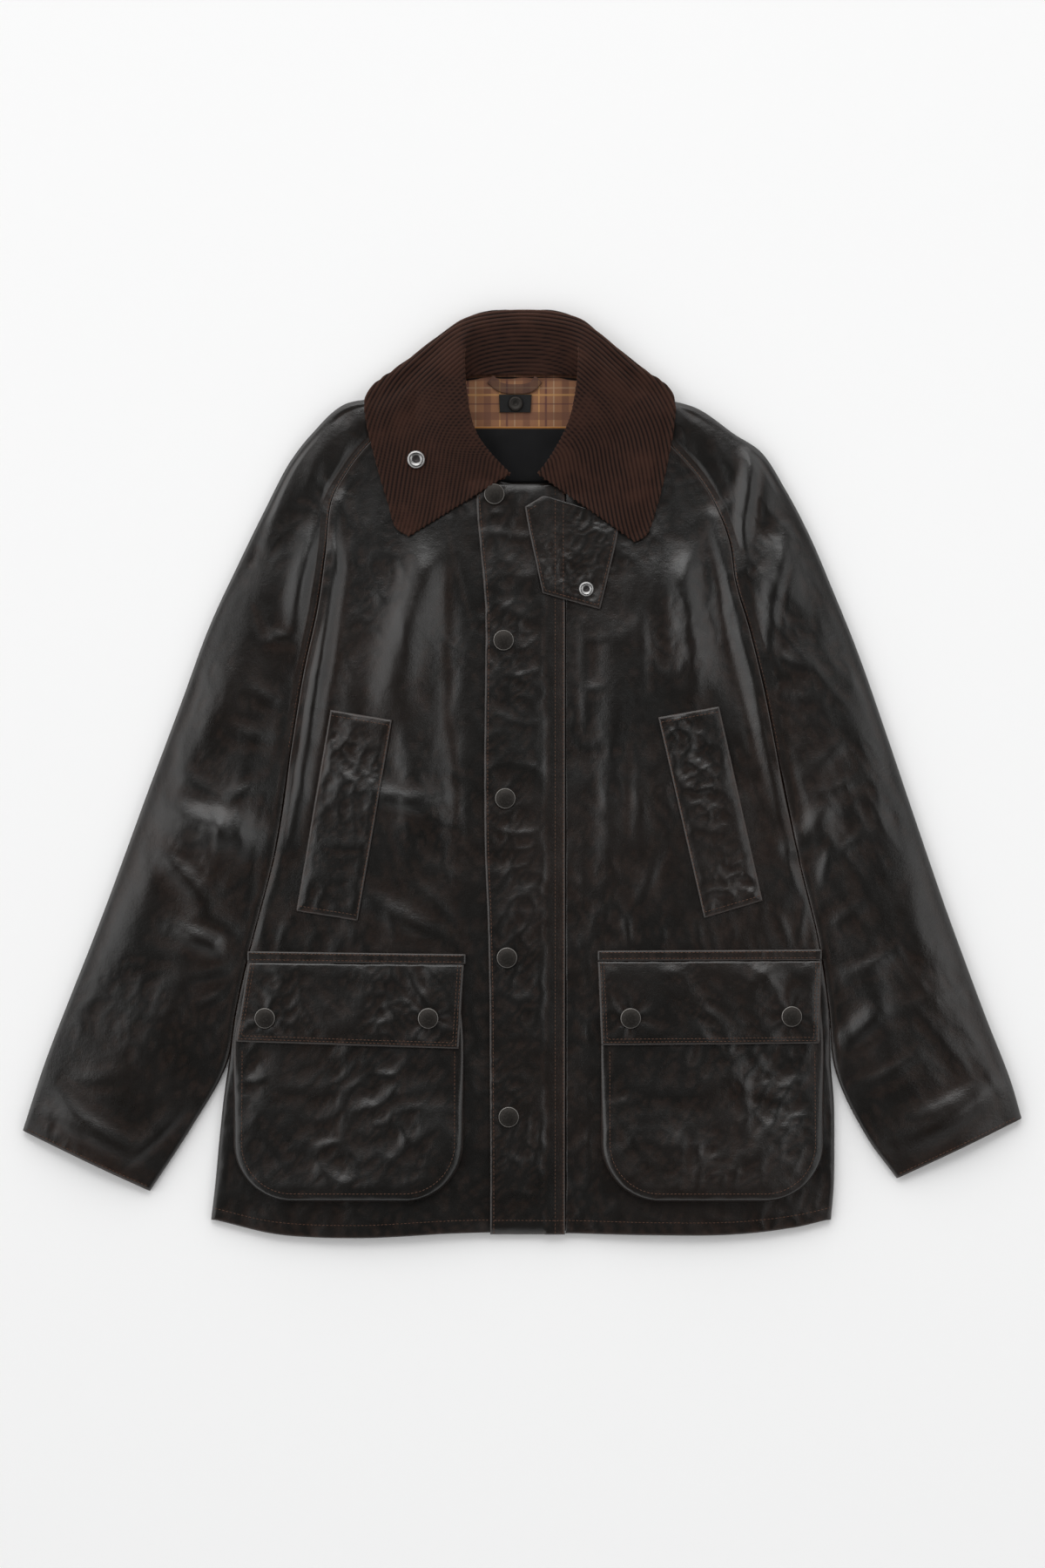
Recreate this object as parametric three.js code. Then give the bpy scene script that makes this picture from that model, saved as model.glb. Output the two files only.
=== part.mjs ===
import * as THREE from "three";

// A waxed cotton jacket with a corduroy collar, fastened and laid on its back on a surface.
// Millimetres. +X is the viewer's right (the wearer's left), +Y runs to the collar and +Z is up
// from the surface. The origin lies on the surface under the middle of the jacket.
// Right and left in the names are the wearer's.

// Cloth walls
const WAXED_COTTON = 1.5;
const DOUBLED_CLOTH = 2.2;
const CORDUROY = 2.5;
const LINING = 1;
const LABEL = 0.8;
const TAPE = 1.1;

// Gaps between pieces: beside each other at a seam, and one lying on another
const SEAM_GAP = 0.75;
const REST_GAP = 0.35;

// How the layers lie
const TOP_LEVEL = 7;
const BODY_SWELL = 3;
const SLEEVE_SWELL = 5;
const SLEEVE_EDGE = 8;
const FULL_SLEEVE = 110;
const UNDERARM_Y = 6;
const NOTCH = 10;
const FALL_UNDER_NECK = 2.9;
const FALL_RAMP = { from: 250, to: 308 };
const FALL_FOLD_RADIUS = 5.5;
const WING_LEVEL = 10;
const HEM_STEP = 1.5;

// Fly, snaps and studs
const FLY_SEAM_X = 37;
const UNDER_FLY_X = 24;
const CAP = { radius: 9, height: 3.6 };
const STUD = { radius: 6.6, hole: 2.6, height: 2.4 };
const WING_STUD = { radius: 8, hole: 2.8, height: 2.6 };
const LOOP = { wide: 5.2, thick: 1.8 };

// Bellows pockets
const POCKET = { height: 199, corner: 48, top: -170, topRaise: 0.4, lowRaise: 9, gusset: 6 };
const FLAP_DROP = 71;

// How much of the bag's rise it has at each distance in from its edge
const BULGE = [
  { inset: 0, share: 0.8 },
  { inset: 4, share: 1 },
  { inset: 22, share: 0.9 },
  { inset: 52, share: 0.75 },
];

// Into how many strips each piece is divided
const STRIPS = {
  frontRows: 26, frontColumns: 9, backRows: 26, backColumns: 8, sleeveRows: 22, sleeveFloor: 3, sleeveTop: 7,
  flyRows: 22, flyColumns: 4, tabColumns: 5, collar: 15, fold: 12, bagEdge: 36, turned: 14,
  loop: 12, loopRing: 4,
};

const clamp01 = (value) => Math.min(1, Math.max(0, value));
const ease = (from, to, value) => THREE.MathUtils.smoothstep(value, Math.min(from, to), Math.max(from, to));
const mix = THREE.MathUtils.lerp;

// Sleeve sections from neck to cuff. inner: the raglan seam, then the underarm edge beside the
// body; outer: the fold along the top of the shoulder and the back of the arm.
const RIGHT_SLEEVE = [
  { innerX: -82, innerY: 335, outerX: -77, outerY: 357 },
  { innerX: -114, innerY: 306.5, outerX: -110, outerY: 331 },
  { innerX: -140, innerY: 281, outerX: -156, outerY: 321 },
  { innerX: -156, innerY: 259, outerX: -182.5, outerY: 297 },
  { innerX: -166.5, innerY: 238, outerX: -203, outerY: 271 },
  { innerX: -172, innerY: 189, outerX: -225, outerY: 229 },
  { innerX: -178.5, innerY: 143.5, outerX: -247, outerY: 184 },
  { innerX: -191, innerY: 86, outerX: -273, outerY: 128 },
  { innerX: -201.5, innerY: 21.5, outerX: -297, outerY: 63 },
  { innerX: -214.5, innerY: -62.5, outerX: -327, outerY: -17 },
  { innerX: -239, innerY: -158.5, outerX: -360, outerY: -107 },
  { innerX: -250, innerY: -208, outerX: -376.5, outerY: -150 },
  { innerX: -258, innerY: -254, outerX: -394, outerY: -194 },
  { innerX: -289.5, innerY: -310, outerX: -416, outerY: -251 },
  { innerX: -324.5, innerY: -363.5, outerX: -435.5, outerY: -310.5 },
];
const LEFT_SLEEVE = [
  { innerX: 80, innerY: 335, outerX: 77, outerY: 356 },
  { innerX: 106, innerY: 309.5, outerX: 105, outerY: 332 },
  { innerX: 131, innerY: 284, outerX: 152, outerY: 318 },
  { innerX: 153.5, innerY: 258.5, outerX: 184, outerY: 296 },
  { innerX: 167, innerY: 237, outerX: 208, outerY: 280 },
  { innerX: 180, innerY: 203, outerX: 229, outerY: 248 },
  { innerX: 186, innerY: 165, outerX: 250, outerY: 208 },
  { innerX: 198, innerY: 124, outerX: 270, outerY: 161 },
  { innerX: 212, innerY: 65, outerX: 292, outerY: 106.5 },
  { innerX: 225.5, innerY: -3, outerX: 316, outerY: 38 },
  { innerX: 241, innerY: -75, outerX: 341, outerY: -36 },
  { innerX: 258, innerY: -145, outerX: 367, outerY: -112 },
  { innerX: 267, innerY: -204, outerX: 387, outerY: -167 },
  { innerX: 273, innerY: -260, outerX: 405, outerY: -215 },
  { innerX: 299, innerY: -315, outerX: 425, outerY: -266 },
  { innerX: 326, innerY: -352.5, outerX: 435, outerY: -300 },
];

// The body's side seam below the sleeve, from the hem up.
const RIGHT_SIDE = [
  { x: -272, y: -388.5 },
  { x: -268.5, y: -358.5 },
  { x: -265, y: -320.5 },
  { x: -260.5, y: -278.5 },
  { x: -255.5, y: -246 },
];
const LEFT_SIDE = [
  { x: 269.5, y: -388.5 },
  { x: 272, y: -358.5 },
  { x: 272.5, y: -320.5 },
  { x: 272, y: -285 },
  { x: 269, y: -250 },
];

// The lower edge, and the neck edge under the collar, of each front.
const RIGHT_HEM = [
  { x: -272, y: -388.5 },
  { x: -216, y: -401 },
  { x: -143, y: -404 },
  { x: -60, y: -400 },
  { x: 24, y: -398.5 },
];
const LEFT_HEM = [
  { x: 37.4, y: -400 },
  { x: 112, y: -401.5 },
  { x: 185, y: -401 },
  { x: 240, y: -395 },
  { x: 269.5, y: -388.5 },
];
const RIGHT_NECK = [
  { x: -82, y: 335 },
  { x: -66, y: 308 },
  { x: -57, y: 286 },
  { x: -43, y: 269 },
  { x: -20, y: 254 },
  { x: 24, y: 250 },
];
const LEFT_NECK = [
  { x: 37.4, y: 250 },
  { x: 47, y: 267 },
  { x: 57, y: 286 },
  { x: 65, y: 308 },
  { x: 80, y: 335 },
];
const BACK_NECK = [
  { x: -82, y: 335 },
  { x: -62, y: 341.5 },
  { x: -40, y: 345 },
  { x: 0, y: 345.5 },
  { x: 40, y: 345 },
  { x: 62, y: 341.5 },
  { x: 80, y: 335 },
];

// The fly's free edge, from the hem up.
const FLY_EDGE = [
  { x: -28, y: -401 },
  { x: -28, y: -260 },
  { x: -30.5, y: -122 },
  { x: -33, y: 0 },
  { x: -32.5, y: 143 },
  { x: -39.5, y: 226 },
  { x: -41, y: 252 },
];

// Collar sections, from the front end of the right wing round the back to the left wing.
// neck: the seam; roll: the crest of the fold, with its height; far: the end of the wing or,
// where the fall goes on underneath, the outer fold; under: the end of the fall below the neck.
const COLLAR = [
  { neckX: -17.5, neckY: 257, rollX: -10.5, rollY: 261, rollZ: 15, farX: -99, farY: 206.5 },
  { neckX: -26, neckY: 262, rollX: -17, rollY: 267, rollZ: 16, farX: -110, farY: 214 },
  { neckX: -40, neckY: 273, rollX: -27, rollY: 277.5, rollZ: 18, farX: -117, farY: 236 },
  { neckX: -50, neckY: 288, rollX: -38.5, rollY: 293, rollZ: 20, farX: -123.5, farY: 257 },
  { neckX: -56, neckY: 305, rollX: -45, rollY: 310.5, rollZ: 22, farX: -130, farY: 281 },
  { neckX: -60, neckY: 321, rollX: -48, rollY: 329, rollZ: 23, farX: -135.5, farY: 305 },
  { neckX: -60, neckY: 332, rollX: -50, rollY: 347, rollZ: 23, farX: -137, farY: 327 },
  {
    neckX: -59, neckY: 336, rollX: -50.5, rollY: 355, rollZ: 23,
    farX: -129, farY: 339.5, underX: -128, underY: 337.5,
  },
  {
    neckX: -57, neckY: 340, rollX: -51, rollY: 363, rollZ: 22,
    farX: -112, farY: 352, underX: -110, underY: 322,
  },
  {
    neckX: -53, neckY: 344, rollX: -50, rollY: 376, rollZ: 19,
    farX: -82, farY: 374.5, underX: -80, underY: 314,
  },
  {
    neckX: -40, neckY: 347, rollX: -42, rollY: 388, rollZ: 16,
    farX: -51, farY: 396, underX: -46, underY: 316,
  },
  {
    neckX: -22, neckY: 347.5, rollX: -24, rollY: 391, rollZ: 15,
    farX: -27, farY: 403.5, underX: -24, underY: 320,
  },
  {
    neckX: 0, neckY: 347.5, rollX: 0, rollY: 391, rollZ: 15,
    farX: 0, farY: 404, underX: 0, underY: 322,
  },
  {
    neckX: 22, neckY: 347.5, rollX: 24, rollY: 391, rollZ: 15,
    farX: 27, farY: 403.5, underX: 24, underY: 320,
  },
  {
    neckX: 40, neckY: 347, rollX: 42, rollY: 388, rollZ: 16,
    farX: 51, farY: 395.5, underX: 46, underY: 316,
  },
  {
    neckX: 52, neckY: 344, rollX: 49, rollY: 376, rollZ: 19,
    farX: 80, farY: 373.5, underX: 80, underY: 314,
  },
  {
    neckX: 56, neckY: 339, rollX: 49, rollY: 362, rollZ: 22,
    farX: 108, farY: 350.5, underX: 108, underY: 322,
  },
  {
    neckX: 58, neckY: 336, rollX: 48.5, rollY: 355, rollZ: 23,
    farX: 125, farY: 339, underX: 124, underY: 337,
  },
  { neckX: 59, neckY: 332, rollX: 48, rollY: 348, rollZ: 23, farX: 132.5, farY: 325 },
  { neckX: 58, neckY: 319, rollX: 46, rollY: 332, rollZ: 23, farX: 131.5, farY: 302 },
  { neckX: 55, neckY: 303, rollX: 42, rollY: 312, rollZ: 22, farX: 127.5, farY: 278 },
  { neckX: 49, neckY: 288, rollX: 35, rollY: 294, rollZ: 20, farX: 122, farY: 252 },
  { neckX: 40, neckY: 273, rollX: 27, rollY: 280, rollZ: 18, farX: 116, farY: 230 },
  { neckX: 30, neckY: 262, rollX: 19, rollY: 268, rollZ: 16, farX: 108, farY: 208 },
  { neckX: 20, neckY: 257, rollX: 13, rollY: 261, rollZ: 15, farX: 98, farY: 201.5 },
];

// Main folds of the upper layers: a soft ridge (rise above 0) or trough (below 0) from start
// through middle to end, that fades at both ends.
const FOLDS = [
  { startX: -160, startY: 236, midX: -166, midY: 148, endX: -202, endY: -60, rise: 7, width: 9 },
  { startX: -76, startY: 205, midX: -96, midY: 138, endX: -119, endY: 50, rise: 6, width: 18 },
  { startX: -104, startY: 75, midX: -86, midY: 20, endX: -88, endY: -60, rise: 4, width: 22 },
  { startX: -68, startY: 190, midX: -57, midY: 80, endX: -53, endY: -150, rise: -2, width: 12 },
  { startX: -160, startY: -5, midX: -115, midY: -30, endX: -70, endY: -22, rise: 3.5, width: 9 },
  { startX: -138, startY: -108, midX: -103, midY: -128, endX: -66, endY: -146, rise: 3, width: 9 },
  { startX: 167, startY: 222, midX: 186, midY: 150, endX: 233, endY: -65, rise: 7, width: 9 },
  { startX: 133, startY: 212, midX: 140, midY: 158, endX: 152, endY: 85, rise: 6, width: 16 },
  { startX: 52, startY: 134, midX: 47, midY: 81, endX: 53, endY: 22, rise: 4, width: 7 },
  { startX: 80, startY: 186, midX: 86, midY: 60, endX: 67, endY: -146, rise: 6, width: 11 },
  { startX: 60, startY: 64, midX: 68, midY: -40, endX: 57, endY: -140, rise: -2, width: 8 },
  { startX: -177, startY: 224, midX: -199, midY: 160, endX: -197, endY: 120, rise: 5, width: 9 },
  { startX: -306, startY: -34, midX: -265, midY: -48, endX: -226, endY: -66, rise: 6, width: 16 },
  { startX: -310, startY: -72, midX: -292, midY: -92, endX: -276, endY: -112, rise: 4, width: 9 },
  { startX: -305, startY: -135, midX: -270, midY: -148, endX: -241, endY: -160, rise: 4, width: 10 },
  { startX: -413, startY: -273, midX: -384, midY: -312, endX: -334, endY: -330, rise: 4, width: 11 },
  { startX: 203, startY: 290, midX: 192, midY: 235, endX: 190, endY: 175, rise: 5, width: 8 },
  { startX: 227, startY: 206, midX: 219, midY: 165, endX: 209, endY: 80, rise: 5, width: 11 },
  { startX: 268, startY: -30, midX: 252, midY: -46, endX: 236, endY: -66, rise: 4, width: 10 },
  { startX: 310, startY: -208, midX: 295, midY: -222, endX: 276, endY: -240, rise: 4, width: 10 },
  { startX: 326, startY: -322, midX: 372, midY: -306, endX: 420, endY: -262, rise: 5, width: 14 },
];

// Places where another piece lies on the cloth and presses its folds flat.
const PRESSED = [
  { name: "fly", fromX: -44, toX: 45, fromY: -410, toY: 260, margin: 14 },
  { name: "right wing", fromX: -134, toX: -20, fromY: 215, toY: 360, margin: 22 },
  { name: "left wing", fromX: 20, toX: 130, fromY: 208, toY: 360, margin: 22 },
  { name: "throat tab", fromX: 0, toX: 84, fromY: 140, toY: 260, margin: 12 },
  { name: "right pocket", fromX: -250, toX: -50, fromY: -378, toY: -154, margin: 10 },
  { name: "left pocket", fromX: 66, toX: 262, fromY: -378, toY: -154, margin: 10 },
];

const softCurve = (points) => new THREE.CatmullRomCurve3(points, false, "centripetal");
const curveOf = (points) => softCurve(points.map(({ x, y, z = 0 }) => new THREE.Vector3(x, y, z)));

// The neck end is raised by the collar's fall, which lies under it.
const raised = (y) => FALL_UNDER_NECK * ease(FALL_RAMP.from, FALL_RAMP.to, y);

// A fold starts and ends at this share of its full arch.
const FOLD_START = 0.12;

const foldPaths = FOLDS.map((fold) => ({
  ...fold,
  path: new THREE.QuadraticBezierCurve(
    new THREE.Vector2(fold.startX, fold.startY),
    new THREE.Vector2(fold.midX, fold.midY),
    new THREE.Vector2(fold.endX, fold.endY),
  ).getPoints(STRIPS.fold),
}));

function foldHeight({ path, rise, width }, x, y) {
  let best = Infinity;
  let along = 0;
  path.forEach((point, index) => {
    const distance = Math.hypot(point.x - x, point.y - y);
    if (distance < best) {
      best = distance;
      along = index / (path.length - 1);
    }
  });
  const fade = Math.sin(Math.PI * mix(FOLD_START, 1 - FOLD_START, along));
  return rise * fade * Math.exp(-((best / width) ** 2));
}

function pressing(x, y) {
  let free = 1;
  for (const zone of PRESSED) {
    const outside = Math.hypot(
      Math.max(zone.fromX - x, 0, x - zone.toX),
      Math.max(zone.fromY - y, 0, y - zone.toY),
    );
    free = Math.min(free, clamp01(outside / zone.margin));
  }
  return free;
}

const folds = (x, y) => pressing(x, y) * foldPaths.reduce((sum, fold) => sum + foldHeight(fold, x, y), 0);
const upperLevel = (x, y) => TOP_LEVEL + raised(y) + folds(x, y);

// A closed body from vertex and triangle lists.
function meshOf(name, vertices, triangles, material) {
  const geometry = new THREE.BufferGeometry();
  const positions = new THREE.Float32BufferAttribute(vertices.flatMap((v) => v.toArray()), 3);
  geometry.setAttribute("position", positions);
  geometry.setIndex(triangles.flat());
  geometry.computeVertexNormals();
  const mesh = new THREE.Mesh(geometry, material);
  mesh.name = name;
  return mesh;
}

// Normals of a grid of points; grid[row][column], outside where columns cross rows.
function gridNormals(grid, closed) {
  return grid.map((row, r) =>
    row.map((_, c) => {
      const last = row.length - 1;
      const left = closed ? row[(c + last) % row.length] : row[Math.max(c - 1, 0)];
      const right = closed ? row[(c + 1) % row.length] : row[Math.min(c + 1, last)];
      const below = grid[Math.max(r - 1, 0)][c];
      const above = grid[Math.min(r + 1, grid.length - 1)][c];
      const across = right.clone().sub(left);
      return across.cross(above.clone().sub(below)).normalize();
    }),
  );
}

// A cloth wall: the grid is its outer face and the inner face lies one thickness inside.
// Straight down where it lies on something, along the normals where it folds.
function wall(name, grid, thickness, material, { down = false, mirrored = false } = {}) {
  const rows = grid.length;
  const columns = grid[0].length;
  const outwards = new THREE.Vector3(0, 0, 1);
  const normals = gridNormals(grid, false).flat();
  const outer = grid.flat();
  const inner = outer.map((point, index) => {
    const normal = down ? outwards : normals[index];
    return point.clone().addScaledVector(normal, mirrored ? thickness : -thickness);
  });
  const at = (r, c) => r * columns + c;
  const under = outer.length;
  const triangles = [];
  for (let r = 0; r < rows - 1; r += 1) {
    for (let c = 0; c < columns - 1; c += 1) {
      const [a, b, d, e] = [at(r, c), at(r, c + 1), at(r + 1, c + 1), at(r + 1, c)];
      triangles.push([a, b, d], [a, d, e]);
      triangles.push([a + under, d + under, b + under], [a + under, e + under, d + under]);
    }
  }
  const rim = [];
  for (let c = 0; c < columns - 1; c += 1) rim.push(at(0, c));
  for (let r = 0; r < rows - 1; r += 1) rim.push(at(r, columns - 1));
  for (let c = columns - 1; c > 0; c -= 1) rim.push(at(rows - 1, c));
  for (let r = rows - 1; r > 0; r -= 1) rim.push(at(r, 0));
  rim.forEach((a, index) => {
    const b = rim[(index + 1) % rim.length];
    triangles.push([b, a, a + under], [b, a + under, b + under]);
  });
  const facing = mirrored ? triangles.map(([a, b, c]) => [a, c, b]) : triangles;
  return meshOf(name, [...outer, ...inner], facing, material);
}

// A cloth wall of nested rings round a middle point, for a patch or a bag with a rounded outline.
function ringWall(name, rings, thickness, material) {
  const count = rings[0].length;
  const middle = rings.at(-1).reduce((sum, point) => sum.add(point), new THREE.Vector3()).divideScalar(count);
  const normals = gridNormals(rings, true);
  const outer = [...rings.flat(), middle];
  const inner = rings.flatMap((ring, r) =>
    ring.map((point, c) => point.clone().addScaledVector(normals[r][c], -thickness)),
  );
  inner.slice(0, count).forEach((point, c) => point.set(point.x, point.y, rings[0][c].z));
  inner.push(middle.clone().setZ(middle.z - thickness));
  const under = outer.length;
  const centre = under - 1;
  const triangles = [];
  for (let c = 0; c < count; c += 1) {
    const n = (c + 1) % count;
    for (let r = 0; r < rings.length - 1; r += 1) {
      const [a, b, d, e] = [r * count + c, r * count + n, (r + 1) * count + n, (r + 1) * count + c];
      triangles.push([a, b, d], [a, d, e]);
      triangles.push([a + under, d + under, b + under], [a + under, e + under, d + under]);
    }
    const [a, b] = [(rings.length - 1) * count + c, (rings.length - 1) * count + n];
    triangles.push([a, b, centre], [a + under, centre + under, b + under]);
    triangles.push([n, c, c + under], [n, c + under, n + under]);
  }
  return meshOf(name, [...outer, ...inner], triangles, material);
}

// What has been laid so far, to find the height that the next piece rests on.
const laid = [];

function lay(mesh) {
  mesh.updateMatrix();
  const positions = mesh.geometry.attributes.position;
  const index = mesh.geometry.index.array;
  for (let i = 0; i < index.length; i += 3) {
    const corners = [0, 1, 2].map((k) =>
      new THREE.Vector3().fromBufferAttribute(positions, index[i + k]).applyMatrix4(mesh.matrix).toArray());
    const xs = corners.map((corner) => corner[0]);
    const ys = corners.map((corner) => corner[1]);
    laid.push({
      corners,
      fromX: Math.min(...xs),
      toX: Math.max(...xs),
      fromY: Math.min(...ys),
      toY: Math.max(...ys),
    });
  }
  return mesh;
}

function heightOf([a, b, c], x, y) {
  const area = (b[0] - a[0]) * (c[1] - a[1]) - (c[0] - a[0]) * (b[1] - a[1]);
  if (Math.abs(area) < 1e-6) return -Infinity;
  const u = ((b[0] - x) * (c[1] - y) - (c[0] - x) * (b[1] - y)) / area;
  const v = ((c[0] - x) * (a[1] - y) - (a[0] - x) * (c[1] - y)) / area;
  const w = 1 - u - v;
  return Math.min(u, v, w) < 0 ? -Infinity : u * a[2] + v * b[2] + w * c[2];
}

// The highest point already laid within reach of (x, y), along X and along Y.
function restHeight(x, y, reachX, reachY = reachX) {
  const near = laid.filter(
    (t) => t.fromX <= x + reachX && t.toX >= x - reachX && t.fromY <= y + reachY && t.toY >= y - reachY,
  );
  let highest = 0;
  for (let i = -2; i <= 2; i += 1) {
    for (let j = -2; j <= 2; j += 1) {
      const [px, py] = [x + (i * reachX) / 2, y + (j * reachY) / 2];
      for (const { corners } of near) highest = Math.max(highest, heightOf(corners, px, py));
    }
  }
  return highest;
}

// A patch between four border curves; side and centre run from the hem up.
function patch({ side, centre, hem, neck }, sideSteps, columnSteps) {
  const hemCurve = curveOf(hem);
  const neckCurve = curveOf(neck);
  const sideCurve = curveOf(side);
  const centreCurve = curveOf(centre);
  const [low, high] = [sideCurve.getPoint(0).y, sideCurve.getPoint(1).y];
  const corners = [hemCurve.getPoint(0), hemCurve.getPoint(1), neckCurve.getPoint(0), neckCurve.getPoint(1)];
  return sideSteps.map((step) => {
    const left = sideCurve.getPoint(step);
    const v = clamp01((left.y - low) / (high - low));
    const right = centreCurve.getPointAt(v);
    return columnSteps.map((u) => {
      const point = left.clone().multiplyScalar(1 - u).addScaledVector(right, u);
      point.addScaledVector(hemCurve.getPointAt(u), 1 - v).addScaledVector(neckCurve.getPointAt(u), v);
      const weights = [(1 - u) * (1 - v), u * (1 - v), (1 - u) * v, u * v];
      corners.forEach((corner, index) => point.addScaledVector(corner, -weights[index]));
      return point;
    });
  });
}

const evenly = (count, from = 0, to = 1) =>
  Array.from({ length: count + 1 }, (_, i) => mix(from, to, i / count));

// The last stretch of a wall at its edge: flat at a joining seam (bend 0), rolled under where the
// cloth folds round (bend 1). out is the way outwards and drop the way down.
const ROLL_STEPS = [0, 1 / 3, 2 / 3, 1];

function edgeRoll(bend, radius) {
  const curvature = Math.max(bend, 0.001) / radius;
  return ROLL_STEPS.map((part) => {
    const turned = (part * Math.PI * radius * curvature) / 2;
    return { out: Math.sin(turned) / curvature, drop: (1 - Math.cos(turned)) / curvature };
  });
}

// 0 where the sleeve is sewn to the body, 1 below the underarm, where both fold round freely.
const UNDERARM_REACH = 15;
const rolledUnder = (y) => 1 - ease(UNDERARM_Y - UNDERARM_REACH, UNDERARM_Y + UNDERARM_REACH, y);

// Materials
const cloth = (color, roughness) => new THREE.MeshStandardMaterial({ color, roughness, metalness: 0 });
const metal = (color, roughness) => new THREE.MeshStandardMaterial({ color, roughness, metalness: 1 });
const waxedCotton = cloth(0x2b2a26, 0.45);
const corduroy = cloth(0x3c251d, 0.95);
const check = cloth(0x6b4f33, 0.9);
const blackTape = cloth(0x141414, 0.8);
const capLacquer = metal(0x2a2724, 0.4);
const silver = metal(0xc4c6c8, 0.3);

// The edge of the body from the hem up: the side seam, then the seam that the sleeve joins.
function bodySeam(sleeve, side) {
  const joined = sleeve.filter((row) => row.innerY > side.at(-1).y + NOTCH).reverse();
  return [...side, ...joined.map((row) => ({ x: row.innerX, y: row.innerY }))];
}

// The first column lies close to the side, so that the swell starts softly.
const FIRST_COLUMN = 0.05;

// One front: its outer face swells softly between its seams, and its side rolls under.
function front(name, sleeve, side, hem, neck, centreX, outwards) {
  const inset = (points) => points.map(({ x, y }) => ({ x: x - outwards * SEAM_GAP, y }));
  const end = outwards < 0 ? -1 : 0;
  const centre = [{ x: centreX, y: hem.at(end).y }, { x: centreX, y: neck.at(end).y }];
  const across = outwards < 0 ? hem : [...hem].reverse();
  const top = outwards < 0 ? neck : [...neck].reverse();
  const flat = patch(
    { side: inset(bodySeam(sleeve, side)), centre, hem: inset(across), neck: inset(top) },
    evenly(STRIPS.frontRows),
    [0, ...evenly(STRIPS.frontColumns, FIRST_COLUMN, 1)],
  );
  const grid = flat.map((row) => {
    const bend = rolledUnder(row[0].y);
    const radius = TOP_LEVEL - 2 * WAXED_COTTON;
    const roll = edgeRoll(bend, radius);
    const reach = roll.at(-1).out;
    const start = row[0].x - outwards * reach;
    const rolled = roll.slice(1).reverse().map(({ out, drop }) => {
      const x = start + outwards * out;
      return new THREE.Vector3(x, row[0].y, upperLevel(start, row[0].y) - drop);
    });
    const width = row.at(-1).x - row[0].x;
    const body = row.map((point) => {
      const u = (point.x - row[0].x) / width;
      const x = mix(start, row.at(-1).x, u);
      const swell = BODY_SWELL * Math.sin(Math.PI * clamp01(u));
      return new THREE.Vector3(x, point.y, upperLevel(x, point.y) + swell);
    });
    return [...rolled, ...body];
  });
  const ordered = outwards < 0 ? grid : grid.map((row) => row.reverse());
  return wall(name, ordered, WAXED_COTTON, waxedCotton);
}

// How far up the back its hem's curve is felt, and how far down its neck's.
const END_SHARE = 0.15;

function back() {
  const right = bodySeam(RIGHT_SLEEVE, RIGHT_SIDE).map(({ x, y }) => ({ x: x + SEAM_GAP, y }));
  const left = bodySeam(LEFT_SLEEVE, LEFT_SIDE).map(({ x, y }) => ({ x: x - SEAM_GAP, y }));
  const hem = [...RIGHT_HEM.slice(0, -1), ...LEFT_HEM].map(({ x, y }, index, all) => {
    if (index === 0) return right[0];
    return index === all.length - 1 ? left[0] : { x, y: y + HEM_STEP };
  });
  const neck = BACK_NECK.map((point, index, all) => {
    if (index === 0) return right.at(-1);
    return index === all.length - 1 ? left.at(-1) : point;
  });
  const rightSide = curveOf(right);
  const leftSide = curveOf(left);
  const hemCurve = curveOf(hem);
  const neckCurve = curveOf(neck);
  const grid = evenly(STRIPS.backRows).map((v) => {
    const start = rightSide.getPoint(v);
    const end = leftSide.getPoint(v);
    return evenly(STRIPS.backColumns).map((u) => {
      const point = start.clone().lerp(end, u);
      const low = hemCurve.getPointAt(u).y - mix(hem[0].y, hem.at(-1).y, u);
      const high = neckCurve.getPointAt(u).y - mix(neck[0].y, neck.at(-1).y, u);
      point.y += low * (1 - ease(0, END_SHARE, v)) + high * ease(1 - END_SHARE, 1, v);
      point.z = raised(point.y) + WAXED_COTTON;
      return point;
    });
  });
  return wall("back", grid, WAXED_COTTON, waxedCotton, { down: true });
}

// The folds fade towards the sleeve's outer edge: from this part of its width, down to this share.
const EDGE_FOLDS = { from: 0.75, share: 0.35 };

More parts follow.
